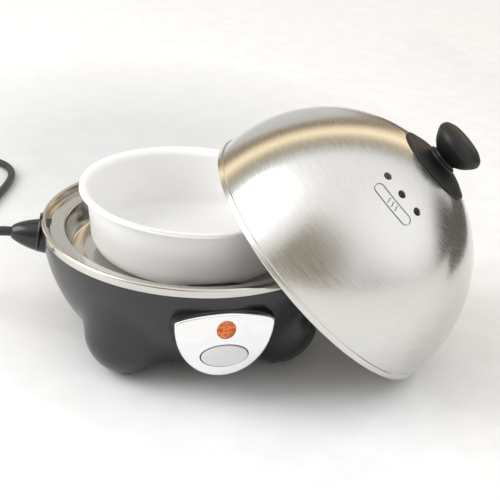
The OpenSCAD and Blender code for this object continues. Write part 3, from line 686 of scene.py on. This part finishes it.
# %% Lid shell
HEM_H, DOME_H, CROWN_R = 4.0, 91.0, 26.5
LID_R = lid_r / MM
DOME_R = LID_R - 1.0
DOME_B = (DOME_H - HEM_H) / math.sqrt(1 - (CROWN_R / DOME_R) ** 2)
VENT_POLAR, VENT_R, VENT_MIDDLE, VENT_STEP = 54.3, 2.5, -108.0, 13.6
VENT_H = HEM_H + DOME_B * math.sqrt(1 - (VENT_POLAR / DOME_R) ** 2)


def in_place(points):
    """Points of the upright lid, in millimetres, moved to the leaning lid, in metres."""
    return np.asarray(points) * MM @ np.array(TO_LID.to_3x3()).T + np.array(TO_LID.translation)


def dome_height(radius):
    """Height of the dome's outer surface at a distance from the lid's axis: a quarter ellipse."""
    return HEM_H + DOME_B * np.sqrt(np.maximum(1 - (radius / DOME_R) ** 2, 0))


def add_lid():
    """Crown, ellipse, groove, hem and edge as one path, given its thickness inwards, with drilled vents."""
    steps = np.radians(np.linspace(math.degrees(math.acos(CROWN_R / DOME_R)), 0, 72))
    dome = np.column_stack([DOME_R * np.cos(steps), HEM_H + 0.6 + (DOME_B - 0.6) * np.sin(steps)])
    crown = arc((CROWN_R - 1.2, DOME_H - 2.0), 2.0, 90, 74, 4)
    hem = rounded([
        (DOME_R, HEM_H + 0.5, 0), (DOME_R, HEM_H, 0.25), (LID_R, HEM_H - 0.35, 0.3), (LID_R, 0, 0.45),
        (LID_R - 1.6, 0, 0.4), (LID_R - 1.6, 0.9, 0)], 6)
    path = np.vstack([[[0, DOME_H]], crown, dome[1:], hem[1:]])
    outline = walled(path, SHEET_T)
    lid = turned("lid_dome", outline[::-1], "lid", TO_LID, segments=320, crease=30)
    holes = []
    for i in (-1, 0, 1):
        turn = math.radians(VENT_MIDDLE + i * VENT_STEP)
        middle = np.array([VENT_POLAR * math.cos(turn), VENT_POLAR * math.sin(turn), VENT_H])
        normal = np.array([VENT_POLAR * math.cos(turn) / DOME_R**2, VENT_POLAR * math.sin(turn) / DOME_R**2,
                           (VENT_H - HEM_H) / DOME_B**2])
        normal /= np.linalg.norm(normal)
        ends = in_place(np.array([middle - 6 * normal, middle + 6 * normal]))
        holes.append(rod(ends[0], ends[1], VENT_R * MM))
    cut(lid, holes)
    return lid


lid = add_lid()
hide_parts("lid_shell")
print("lid", round(2 * LID_R, 1), "mm across the hem, dome", DOME_H, "mm high")

# %% [markdown]
# ## The steam mark
# A small mark is etched beside the vents, to warn of the steam: an oblong
# outline that follows the lid round, with three curls inside. Each line is a
# thin strip laid on the dome. A point is given by its way round and down the lid.

# %% Steam mark
MARK_POLAR, MARK_TURN, MARK_HALF, MARK_END = 62.0, -107.2, 3.0, 11.3


def on_dome(along, down):
    """Points on the upright lid: along is mm round from the mark's middle, down is out towards the rim."""
    polar = MARK_POLAR + down * 0.78
    turn = math.radians(MARK_TURN) + along / MARK_POLAR
    return np.column_stack([polar * np.cos(turn), polar * np.sin(turn), dome_height(polar) + 0.6])


def etched_strip(along, down, closed, half=0.13, lift=0.05):
    """Points and faces of a closed strip of even width along a line, a little proud of the steel."""
    line = np.column_stack([along, down])
    step = (np.roll(line, -1, 0) - np.roll(line, 1, 0)) if closed else np.gradient(line, axis=0)
    side = np.column_stack([-step[:, 1], step[:, 0]]) / np.linalg.norm(step, axis=1)[:, None] * half
    left, right = on_dome(*(line + side).T), on_dome(*(line - side).T)
    up = np.column_stack([left[:, :2] / 120, np.full(len(left), 0.8)])
    rings = np.stack([left - 0.1 * up, left + lift * up, right + lift * up, right - 0.1 * up], axis=1)
    points = rings.reshape(-1, 3)
    faces = grid_faces(len(line), 4, wrap_rows=closed)
    if not closed:
        last = len(points) - 4
        faces = np.concatenate([faces, [[0, 1, 2, 3], [last + 3, last + 2, last + 1, last]]])
    return points, faces


def add_mark():
    """The outline is two straight runs and two half circles; each curl is one wave of a sine."""
    turn = np.radians(np.linspace(90, 270, 16))
    left = np.column_stack([-MARK_END + MARK_HALF * np.cos(turn), MARK_HALF * np.sin(turn)])
    run = np.linspace(-MARK_END, MARK_END, 24)[1:-1]
    bottom = np.column_stack([run, np.full(22, -MARK_HALF)])
    outline = np.vstack([left, bottom, -left, -bottom])
    strips = [etched_strip(outline[:, 0], outline[:, 1], True)]
    wave = np.linspace(-1.7, 1.7, 18)
    curl = 0.55 * np.sin(wave * math.pi / 1.7)
    strips += [etched_strip(shift + curl, wave, False) for shift in (-3.0, 0.0, 3.0)]
    counts = np.cumsum([0] + [len(points) for points, _ in strips[:-1]])
    points = np.concatenate([points for points, _ in strips])
    faces = np.concatenate([faces + count for (_, faces), count in zip(strips, counts)])
    return add_piece("steam_mark", in_place(points), faces, "lid")


mark = add_mark()
print("steam mark", 2 * (MARK_END + MARK_HALF), "mm long")

# %% [markdown]
# ## The knob
# The knob is two black mouldings on one screw: a thin cone that covers the flat
# crown, and a mushroom cap to hold. Both are turned outlines on the lid's axis.

# %% Knob
SKIRT_R, SKIRT_H, NECK_R, CAP_R, CAP_H = 25.5, 8.6, 8.2, 17.3, 17.0


def add_knob():
    """A thin cone-shaped skirt with a collar, and a bulb-shaped cap, each a turned outline."""
    collar = NECK_R + 1.7
    skirt_path = rounded([
        (0, DOME_H + 0.02, 0), (SKIRT_R - 0.4, DOME_H + 0.02, 0.15), (SKIRT_R, DOME_H + 0.5, 0.5),
        (SKIRT_R - 0.3, DOME_H + 1.3, 0.5), ((SKIRT_R + collar) / 2, DOME_H + (SKIRT_H - 1.8) / 2 + 0.9, 30),
        (collar - 0.2, DOME_H + SKIRT_H - 3.0, 0.8), (collar, DOME_H + SKIRT_H - 2.2, 0.3),
        (collar, DOME_H + SKIRT_H - 1.5, 0.5), (collar - 1.0, DOME_H + SKIRT_H - 1.2, 0.3),
        (NECK_R, DOME_H + SKIRT_H - 1.2, 0.3), (NECK_R, DOME_H + SKIRT_H - 0.02, 0),
        (0, DOME_H + SKIRT_H - 0.02, 0)], 7)
    skirt = turned("lid_knob_skirt", skirt_path[::-1], "lid", TO_LID, segments=128)
    base = DOME_H + SKIRT_H
    cap_path = rounded([
        (0, base, 0), (NECK_R - 0.2, base, 0.3), (NECK_R + 0.6, base + 0.6, 1.0),
        (NECK_R + 4.6, base + 3.4, 16.0), (CAP_R - 0.6, base + 9.4, 7.0),
        (CAP_R - 0.1, base + CAP_H - 3.4, 4.6),
        (CAP_R - 6.5, base + CAP_H - 0.5, 7.0), (0, base + CAP_H, 0)], 14)
    cap = turned("lid_knob_cap", cap_path[::-1], "lid", TO_LID, segments=128, crease=60)
    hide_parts("knob_skirt")
    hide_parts("knob_cap")
    return skirt, cap


skirt, cap = add_knob()
print("knob", 2 * CAP_R, "mm across its cap,", 2 * SKIRT_R, "mm across its skirt")

# %% [markdown]
# ## The cord outlet
# A glossy bullet-shaped sleeve leads the cord out of the base at the back left.
# A thin plate stands behind it against the housing. Both are loops of points
# around the outlet's axis, which tilts up slightly towards the tip.

# %% Cord outlet
TIP = ROUTE[0]
OUTLET_TURN = math.atan2(TIP[1], TIP[0])
OUTLET_TILT = math.radians(6)
TO_TIP = (Matrix.Translation(Vector(TIP * MM)) @ Matrix.Rotation(OUTLET_TURN, 4, "Z")
          @ Matrix.Rotation(-OUTLET_TILT, 4, "Y") @ Matrix.Rotation(math.pi / 2, 4, "Y"))
OUTLET_LEN = float(np.hypot(TIP[0], TIP[1])) - DISH_R + 5


def add_outlet():
    """Radius falls from base to tip as (1 - t^1.6)^0.75, t being the share of the length."""
    share = np.linspace(0, 1, 40) ** 0.8
    radius = 3.6 + (11.0 - 3.6) * (1 - share**1.6) ** 0.75
    height = -OUTLET_LEN + OUTLET_LEN * share
    bore = [[3.05, 0.0], [3.05, -3.0], [0, -3.0]]
    path = np.vstack([[[0, -OUTLET_LEN]], np.column_stack([radius, height]), bore])
    sleeve = turned("cord_sleeve", path[::-1], "base", TO_TIP, segments=96)
    plate_path = rounded([(0, 0, 0), (11.9, 0, 0.5), (12.5, 0.9, 0.5), (11.9, 1.8, 0.5), (0, 1.8, 0)], 6)
    shift = Matrix.Translation(Vector((-2.0 * MM, 0, (-OUTLET_LEN + 5.6) * MM)))
    plate = turned("cord_sleeve_plate", plate_path[::-1], "base", TO_TIP @ shift, segments=96)
    for piece in (sleeve, plate):
        cut(piece, [rod((0, 0, seam_z), (0, 0, 0.12), dish_r + 0.3 * MM, 256)])
    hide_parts("cord_hood")
    return sleeve, plate


sleeve, plate = add_outlet()
print("cord outlet", round(OUTLET_LEN, 1), "mm long")

# %% [markdown]
# ## Finishes
# Each finish is one shader with small procedural changes over the surface: a
# grain too fine to see as bumps, a little unevenness in the gloss, and on the
# steels the fine parallel scratches that brushing leaves. Numbers that are the
# same all over are set straight on the shader.

# %% Shader helpers
def new_finish(name, colour, roughness, metallic=0.0, **settings):
    """An empty finish with its shader's even values set, and the parts needed to add to it."""
    material = bpy.data.materials.new(name)
    material.use_nodes = True
    tree = material.node_tree
    shader = tree.nodes["Principled BSDF"]
    shader.inputs["Base Color"].default_value = (*colour, 1.0)
    shader.inputs["Roughness"].default_value = roughness
    shader.inputs["Metallic"].default_value = metallic
    for socket, value in settings.items():
        shader.inputs[socket].default_value = value
    return material, tree, shader


def add_noise(tree, vector, scale, detail=3.0):
    """A noise pattern read at a vector."""
    noise = tree.nodes.new("ShaderNodeTexNoise")
    noise.inputs["Scale"].default_value = scale
    noise.inputs["Detail"].default_value = detail
    tree.links.new(vector, noise.inputs["Vector"])
    return noise.outputs["Fac"]


def spread(tree, value, low, high, start=0.3, end=0.7):
    """A 0 to 1 pattern stretched to run from low to high."""
    node = tree.nodes.new("ShaderNodeMapRange")
    for socket, number in zip(("From Min", "From Max", "To Min", "To Max"), (start, end, low, high)):
        node.inputs[socket].default_value = number
    tree.links.new(value, node.inputs["Value"])
    return node.outputs["Result"]


def tint(tree, value, dark, light, target):
    """Colours a socket from dark to light by a pattern."""
    mix = tree.nodes.new("ShaderNodeMix")
    mix.data_type = "RGBA"
    mix.inputs["A"].default_value = (*dark, 1.0)
    mix.inputs["B"].default_value = (*light, 1.0)
    tree.links.new(value, mix.inputs["Factor"])
    tree.links.new(mix.outputs["Result"], target)


def shades(colour, dark, light):
    """A darker and a lighter version of a colour."""
    return [part * dark for part in colour], [min(1.0, part * light) for part in colour]


def add_bump(tree, value, shader, distance):
    """Tilts the shader's surface by a height pattern, distance being the pattern's height in metres."""
    bump = tree.nodes.new("ShaderNodeBump")
    bump.inputs["Distance"].default_value = distance
    bump.inputs["Strength"].default_value = 1.0
    tree.links.new(value, bump.inputs["Height"])
    tree.links.new(bump.outputs["Normal"], shader.inputs["Normal"])


def object_place(tree):
    """Where each point is on the object, in metres."""
    return tree.nodes.new("ShaderNodeTexCoord").outputs["Object"]


# %% Plastics and rubber
def moulded(name, colour, roughness, grain=900.0, depth=0.00001, uneven=0.05, **settings):
    """A moulded finish: slow unevenness in the gloss, a faint change of colour and a very fine grain."""
    material, tree, shader = new_finish(name, colour, roughness, **settings)
    place = object_place(tree)
    slow = add_noise(tree, place, 45.0)
    fine = add_noise(tree, place, grain, 2.0)
    tree.links.new(spread(tree, slow, roughness - uneven, roughness + uneven), shader.inputs["Roughness"])
    tint(tree, slow, *shades(colour, 0.93, 1.05), shader.inputs["Base Color"])
    add_bump(tree, fine, shader, depth)
    return material


def faceted(name, dark, light, roughness, cells=1300.0):
    """Clear coloured plastic over a pattern of small cells, each a little lighter or darker than the next."""
    material, tree, shader = new_finish(name, light, roughness)
    cell = tree.nodes.new("ShaderNodeTexVoronoi")
    cell.inputs["Scale"].default_value = cells
    tree.links.new(object_place(tree), cell.inputs["Vector"])
    split = tree.nodes.new("ShaderNodeSeparateColor")
    tree.links.new(cell.outputs["Color"], split.inputs["Color"])
    tint(tree, split.outputs["Red"], dark, light, shader.inputs["Base Color"])
    add_bump(tree, cell.outputs["Distance"], shader, 0.0002)
    return material


# %% Metals
def turned_steel(name, colour, smooth, rough, lines, anisotropy, length=6.0, depth=0.000008):
    """Steel brushed round its axis: a noise drawn out along the turn and packed close along the outline."""
    material, tree, shader = new_finish(name, colour, (smooth + rough) / 2, 1.0, Anisotropic=anisotropy)
    shader.inputs["Anisotropic Rotation"].default_value = 0.25
    uv = tree.nodes.new("ShaderNodeUVMap")
    uv.uv_map = "turns"
    split = tree.nodes.new("ShaderNodeSeparateXYZ")
    tree.links.new(uv.outputs["UV"], split.inputs["Vector"])
    angle = tree.nodes.new("ShaderNodeMath")
    angle.operation = "MULTIPLY"
    angle.inputs[1].default_value = 2 * math.pi
    tree.links.new(split.outputs["X"], angle.inputs[0])
    ring = tree.nodes.new("ShaderNodeCombineXYZ")
    for operation, socket in (("COSINE", "X"), ("SINE", "Y")):
        wave = tree.nodes.new("ShaderNodeMath")
        wave.operation = operation
        tree.links.new(angle.outputs["Value"], wave.inputs[0])
        scale = tree.nodes.new("ShaderNodeMath")
        scale.operation = "MULTIPLY"
        scale.inputs[1].default_value = length
        tree.links.new(wave.outputs["Value"], scale.inputs[0])
        tree.links.new(scale.outputs["Value"], ring.inputs[socket])
    along = tree.nodes.new("ShaderNodeMath")
    along.operation = "MULTIPLY"
    along.inputs[1].default_value = lines
    tree.links.new(split.outputs["Y"], along.inputs[0])
    tree.links.new(along.outputs["Value"], ring.inputs["Z"])
    streak = add_noise(tree, ring.outputs["Vector"], 1.0, 4.0)
    tree.links.new(spread(tree, streak, smooth, rough), shader.inputs["Roughness"])
    tint(tree, streak, *shades(colour, 0.80, 1.10), shader.inputs["Base Color"])
    add_bump(tree, streak, shader, depth)
    tangent = tree.nodes.new("ShaderNodeTangent")
    tangent.direction_type = "UV_MAP"
    tangent.uv_map = "turns"
    tree.links.new(tangent.outputs["Tangent"], shader.inputs["Tangent"])
    return material


def plated(name, colour, roughness, uneven=0.04, scale=260.0):
    """A plated or cast metal: even colour with a cloudy gloss."""
    material, tree, shader = new_finish(name, colour, roughness, 1.0)
    cloud = add_noise(tree, object_place(tree), scale)
    smooth, rough = max(0.01, roughness - uneven), roughness + uneven
    tree.links.new(spread(tree, cloud, smooth, rough), shader.inputs["Roughness"])
    tint(tree, cloud, *shades(colour, 0.92, 1.0), shader.inputs["Base Color"])
    return material


# %% Every finish, by the record's slot name, and the etched steel of the mark
FINISHES = {
    "black_shell": moulded("housing_black", (0.026, 0.026, 0.028), 0.24, 700.0, 0.000012, 0.03),
    "black_matte": moulded("cover_black", (0.03, 0.03, 0.032), 0.55),
    "zinc": plated("zinc_plate", (0.62, 0.62, 0.60), 0.35),
    "rubber": moulded("pad_rubber", (0.05, 0.05, 0.05), 0.8),
    "polished_steel": turned_steel("dish_steel", (0.66, 0.645, 0.61), 0.10, 0.17, 160.0, 0.35, 4.0, 0.000003),
    "brushed_steel": turned_steel("dome_steel", (0.73, 0.72, 0.695), 0.12, 0.30, 520.0, 0.7, 9.0, 0.000008),
    "aluminium": plated("cast_aluminium", (0.6, 0.6, 0.6), 0.5),
    "element_sheath": plated("element_sheath", (0.32, 0.28, 0.25), 0.45),
    "brass_tin": plated("tinned_brass", (0.7, 0.62, 0.42), 0.35),
    "bakelite": moulded("bakelite", (0.05, 0.042, 0.038), 0.45),
    "ceramic": moulded("ceramic", (0.8, 0.78, 0.7), 0.5),
    "chrome": plated("panel_chrome", (0.93, 0.93, 0.94), 0.05, 0.02),
    "orange_lens": faceted("lens_orange", (0.38, 0.045, 0.008), (0.95, 0.27, 0.06), 0.2, 1000.0),
    "lamp_glass": moulded("lamp_glass", (1.0, 0.75, 0.5), 0.08),
    "white_plastic": moulded("white_plastic", (0.8, 0.8, 0.78), 0.45),
    "silver_button": moulded("button_silver", (0.74, 0.75, 0.75), 0.33, 900.0, 0.00001, 0.04),
    "wire_sleeve": moulded("wire_sleeve", (0.25, 0.12, 0.06), 0.5),
    "gloss_black": moulded("sleeve_gloss", (0.018, 0.018, 0.02), 0.16, 500.0, 0.000008),
    "cord_black": moulded("cord_rubber", (0.022, 0.022, 0.024), 0.36, 1200.0, 0.00002),
    "tie_black": moulded("tie_black", (0.05, 0.05, 0.05), 0.5),
    "white_bowl": moulded("bowl_white", (0.98, 0.98, 0.975), 0.3, 300.0, 0.000004, 0.02),
    "knob_black": moulded("knob_black", (0.004, 0.004, 0.0042), 0.5, 1500.0, 0.00001, 0.05),
    "etched": plated("etched_steel", (0.20, 0.195, 0.19), 0.55),
}
lens_shader = FINISHES["orange_lens"].node_tree.nodes["Principled BSDF"]
lens_shader.inputs["Emission Color"].default_value = (1.0, 0.22, 0.02, 1)
lens_shader.inputs["Emission Strength"].default_value = 0.06
bowl_shader = FINISHES["white_bowl"].node_tree.nodes["Principled BSDF"]
bowl_shader.inputs["Subsurface Weight"].default_value = 0.3
bowl_shader.inputs["Subsurface Scale"].default_value = 0.004
bowl_shader.inputs["Subsurface Radius"].default_value = (1.0, 1.0, 1.0)

SLOT_OF_NODE = {part["node"]: part["material_slot"] for part in record["subparts"]}
for node_name, node in frame["nodes"].items():
    finish_of_node = FINISHES[SLOT_OF_NODE[node_name]]
    for material_slot in node.material_slots:
        material_slot.material = finish_of_node
PIECES = {
    mains_cord: "cord_black", housing: "black_shell", boss: "black_shell", bezel: "chrome",
    lens: "orange_lens", button: "silver_button", bush: "black_matte", mark: "etched",
    dish: "polished_steel", bowl: "white_bowl", lid: "brushed_steel", skirt: "knob_black",
    cap: "knob_black", sleeve: "gloss_black", plate: "gloss_black"}
for piece, slot_name in PIECES.items():
    piece.data.materials.clear()
    piece.data.materials.append(FINISHES[slot_name])
print("finishes:", len(FINISHES), "new pieces:", len(PIECES))

# %% [markdown]
# ## Floor and light
# A white table runs off to the back, under one large soft lamp and a pale room.
# The steel shows what is around it, so the room carries warm and dark patches
# where the dome reflects them, and one dark board stands at the right.

# %% Floor
def table_white():
    """Matt white with a painted shadow: a little greyer in a soft round patch behind the object."""
    material = moulded("table_white", (0.90, 0.905, 0.915), 0.6, 300.0, 0.00001, 0.02)
    tree = material.node_tree
    colour = tree.nodes["Principled BSDF"].inputs["Base Color"]
    even = colour.links[0].from_socket
    far = tree.nodes.new("ShaderNodeVectorMath")
    far.operation = "DISTANCE"
    far.inputs[1].default_value = (0.02, 0.31, 0.0)
    tree.links.new(object_place(tree), far.inputs[0])
    # Painted shadow: the floor's colour is multiplied greyer in a soft round patch behind the object,
    # standing in for the object's shade.
    painted_shadow = tree.nodes.new("ShaderNodeMix")
    painted_shadow.data_type = "RGBA"
    painted_shadow.blend_type = "MULTIPLY"
    painted_shadow.inputs["B"].default_value = (0.74, 0.76, 0.77, 1)
    tree.links.new(even, painted_shadow.inputs["A"])
    tree.links.new(spread(tree, far.outputs["Value"], 1.0, 0.0, 0.08, 0.33), painted_shadow.inputs["Factor"])
    tree.links.new(painted_shadow.outputs["Result"], colour)
    return material


def add_floor():
    """A flat white sheet far larger than the view."""
    size = 4.0
    mesh = bpy.data.meshes.new("table")
    corners = [(-size, -size, 0), (size, -size, 0), (size, size, 0), (-size, size, 0)]
    mesh.from_pydata(corners, [], [(0, 1, 2, 3)])
    table = bpy.data.objects.new("table", mesh)
    bpy.context.scene.collection.objects.link(table)
    mesh.materials.append(table_white())
    return table


floor = add_floor()


def add_lamp(name, place, aim, size, energy):
    """A square area lamp at a place, facing its aim."""
    data = bpy.data.lights.new(name, "AREA")
    data.shape = "RECTANGLE"
    data.size, data.size_y = size
    data.energy = energy
    lamp = bpy.data.objects.new(name, data)
    facing = (Vector(aim) - Vector(place)).to_track_quat("-Z", "Y").to_matrix().to_4x4()
    lamp.matrix_world = Matrix.Translation(Vector(place)) @ facing
    bpy.context.scene.collection.objects.link(lamp)
    return lamp


window = add_lamp("window", (-1.15, 0.15, 0.85), (0.0, 0.0, 0.05), (0.9, 0.9), 11)
print("lamp", window.name, window.data.energy, "W")

# %% Room
# Each patch of the room: turn and height of its middle in degrees, the angles from its middle at which it
# starts to fade and has faded, and its brightness in red, green and blue.
ROOM_LOW, ROOM_HIGH = (0.72, 0.72, 0.71), (1.22, 1.22, 1.22)
ROOM_PATCHES = [
    (-128, 18, 14, 40, (0.42, 0.37, 0.29)),
    (172, 38, 22, 42, (1.5, 1.5, 1.5)),
    (-38, 33, 14, 40, (1.38, 1.38, 1.37)),
    (6, 0, 14, 27, (0.14, 0.12, 0.11)),
]
# The far wall: rings about one direction, each with its angle in degrees and its brightness.
WALL_TURN, WALL_HEIGHT, WALL_EDGE = 82, 12, 64
WALL_RINGS = [
    (0, (0.82, 0.82, 0.82)), (15, (0.80, 0.79, 0.76)), (21, (0.42, 0.36, 0.28)), (27, (0.38, 0.30, 0.21)),
    (32, (1.20, 0.98, 0.68)), (37, (1.75, 1.48, 1.05)), (41, (1.20, 1.00, 0.70)), (46, (0.60, 0.51, 0.38)),
    (52, (0.56, 0.52, 0.44)), (59, (0.95, 0.95, 0.94)), (64, (1.2, 1.2, 1.2)),
]


def direction(turn, height):
    """The unit vector towards a turn and a height, in degrees."""
    turn, height = math.radians(turn), math.radians(height)
    return (math.cos(height) * math.cos(turn), math.cos(height) * math.sin(turn), math.sin(height))


def add_room():
    """The light from all round: pale overhead, greyer near the floor, with soft light and dark patches."""
    world = bpy.data.worlds.new("room")
    bpy.context.scene.world = world
    world.use_nodes = True
    tree = world.node_tree
    way = tree.nodes.new("ShaderNodeTexCoord").outputs["Generated"]

    def blend(under, over, mask):
        """Lays one colour over another where the mask is 1; a colour is a socket or a tuple."""
        mix = tree.nodes.new("ShaderNodeMix")
        mix.data_type = "RGBA"
        for socket, colour in (("A", under), ("B", over)):
            if isinstance(colour, tuple):
                mix.inputs[socket].default_value = (*colour, 1)
            else:
                tree.links.new(colour, mix.inputs[socket])
        tree.links.new(mask, mix.inputs["Factor"])
        return mix.outputs["Result"]

    def closeness(turn, up):
        """The cosine of the angle between the way looked and a direction."""
        dot = tree.nodes.new("ShaderNodeVectorMath")
        dot.operation = "DOT_PRODUCT"
        dot.inputs[1].default_value = direction(turn, up)
        tree.links.new(way, dot.inputs[0])
        return dot.outputs["Value"]

    colour = blend(ROOM_LOW, ROOM_HIGH, spread(tree, closeness(0, 90), 0, 1, 0.0, 0.75))
    for turn, up, start, end, patch in ROOM_PATCHES:
        faded, full = math.cos(math.radians(end)), math.cos(math.radians(start))
        mask = spread(tree, closeness(turn, up), 0, 1, faded, full)
        colour = blend(colour, patch, mask)
    angle = tree.nodes.new("ShaderNodeMath")
    angle.operation = "ARCCOSINE"
    tree.links.new(closeness(WALL_TURN, WALL_HEIGHT), angle.inputs[0])
    share = spread(tree, angle.outputs["Value"], 0, 1, 0, math.radians(WALL_EDGE))
    rings = tree.nodes.new("ShaderNodeValToRGB")
    stops = rings.color_ramp.elements
    for k, (degrees, ring) in enumerate(WALL_RINGS):
        stop = stops[k] if k < 2 else stops.new(degrees / WALL_EDGE)
        stop.position = degrees / WALL_EDGE
        stop.color = (*ring, 1)
    tree.links.new(share, rings.inputs["Fac"])
    wall = spread(tree, share, 1, 0, 0.93, 1.0)
    colour = blend(colour, rings.outputs["Color"], wall)
    tree.links.new(colour, tree.nodes["Background"].inputs["Color"])
    tree.nodes["Background"].inputs["Strength"].default_value = 0.9


def add_flag():
    """A dark board to the right that only the steel's reflection sees."""
    mesh = bpy.data.meshes.new("flag")
    corners = [(0.56, -0.15, 0), (0.50, 0.75, 0), (0.50, 0.75, 0.16), (0.56, -0.15, 0.16)]
    mesh.from_pydata(corners, [], [(0, 3, 2, 1)])
    flag = bpy.data.objects.new("flag", mesh)
    bpy.context.scene.collection.objects.link(flag)
    mesh.materials.append(moulded("flag_dark", (0.10, 0.09, 0.08), 0.9))
    flag.visible_camera = flag.visible_diffuse = flag.visible_shadow = False


add_flag()
add_room()
bpy.context.scene.view_settings.view_transform = "Standard"
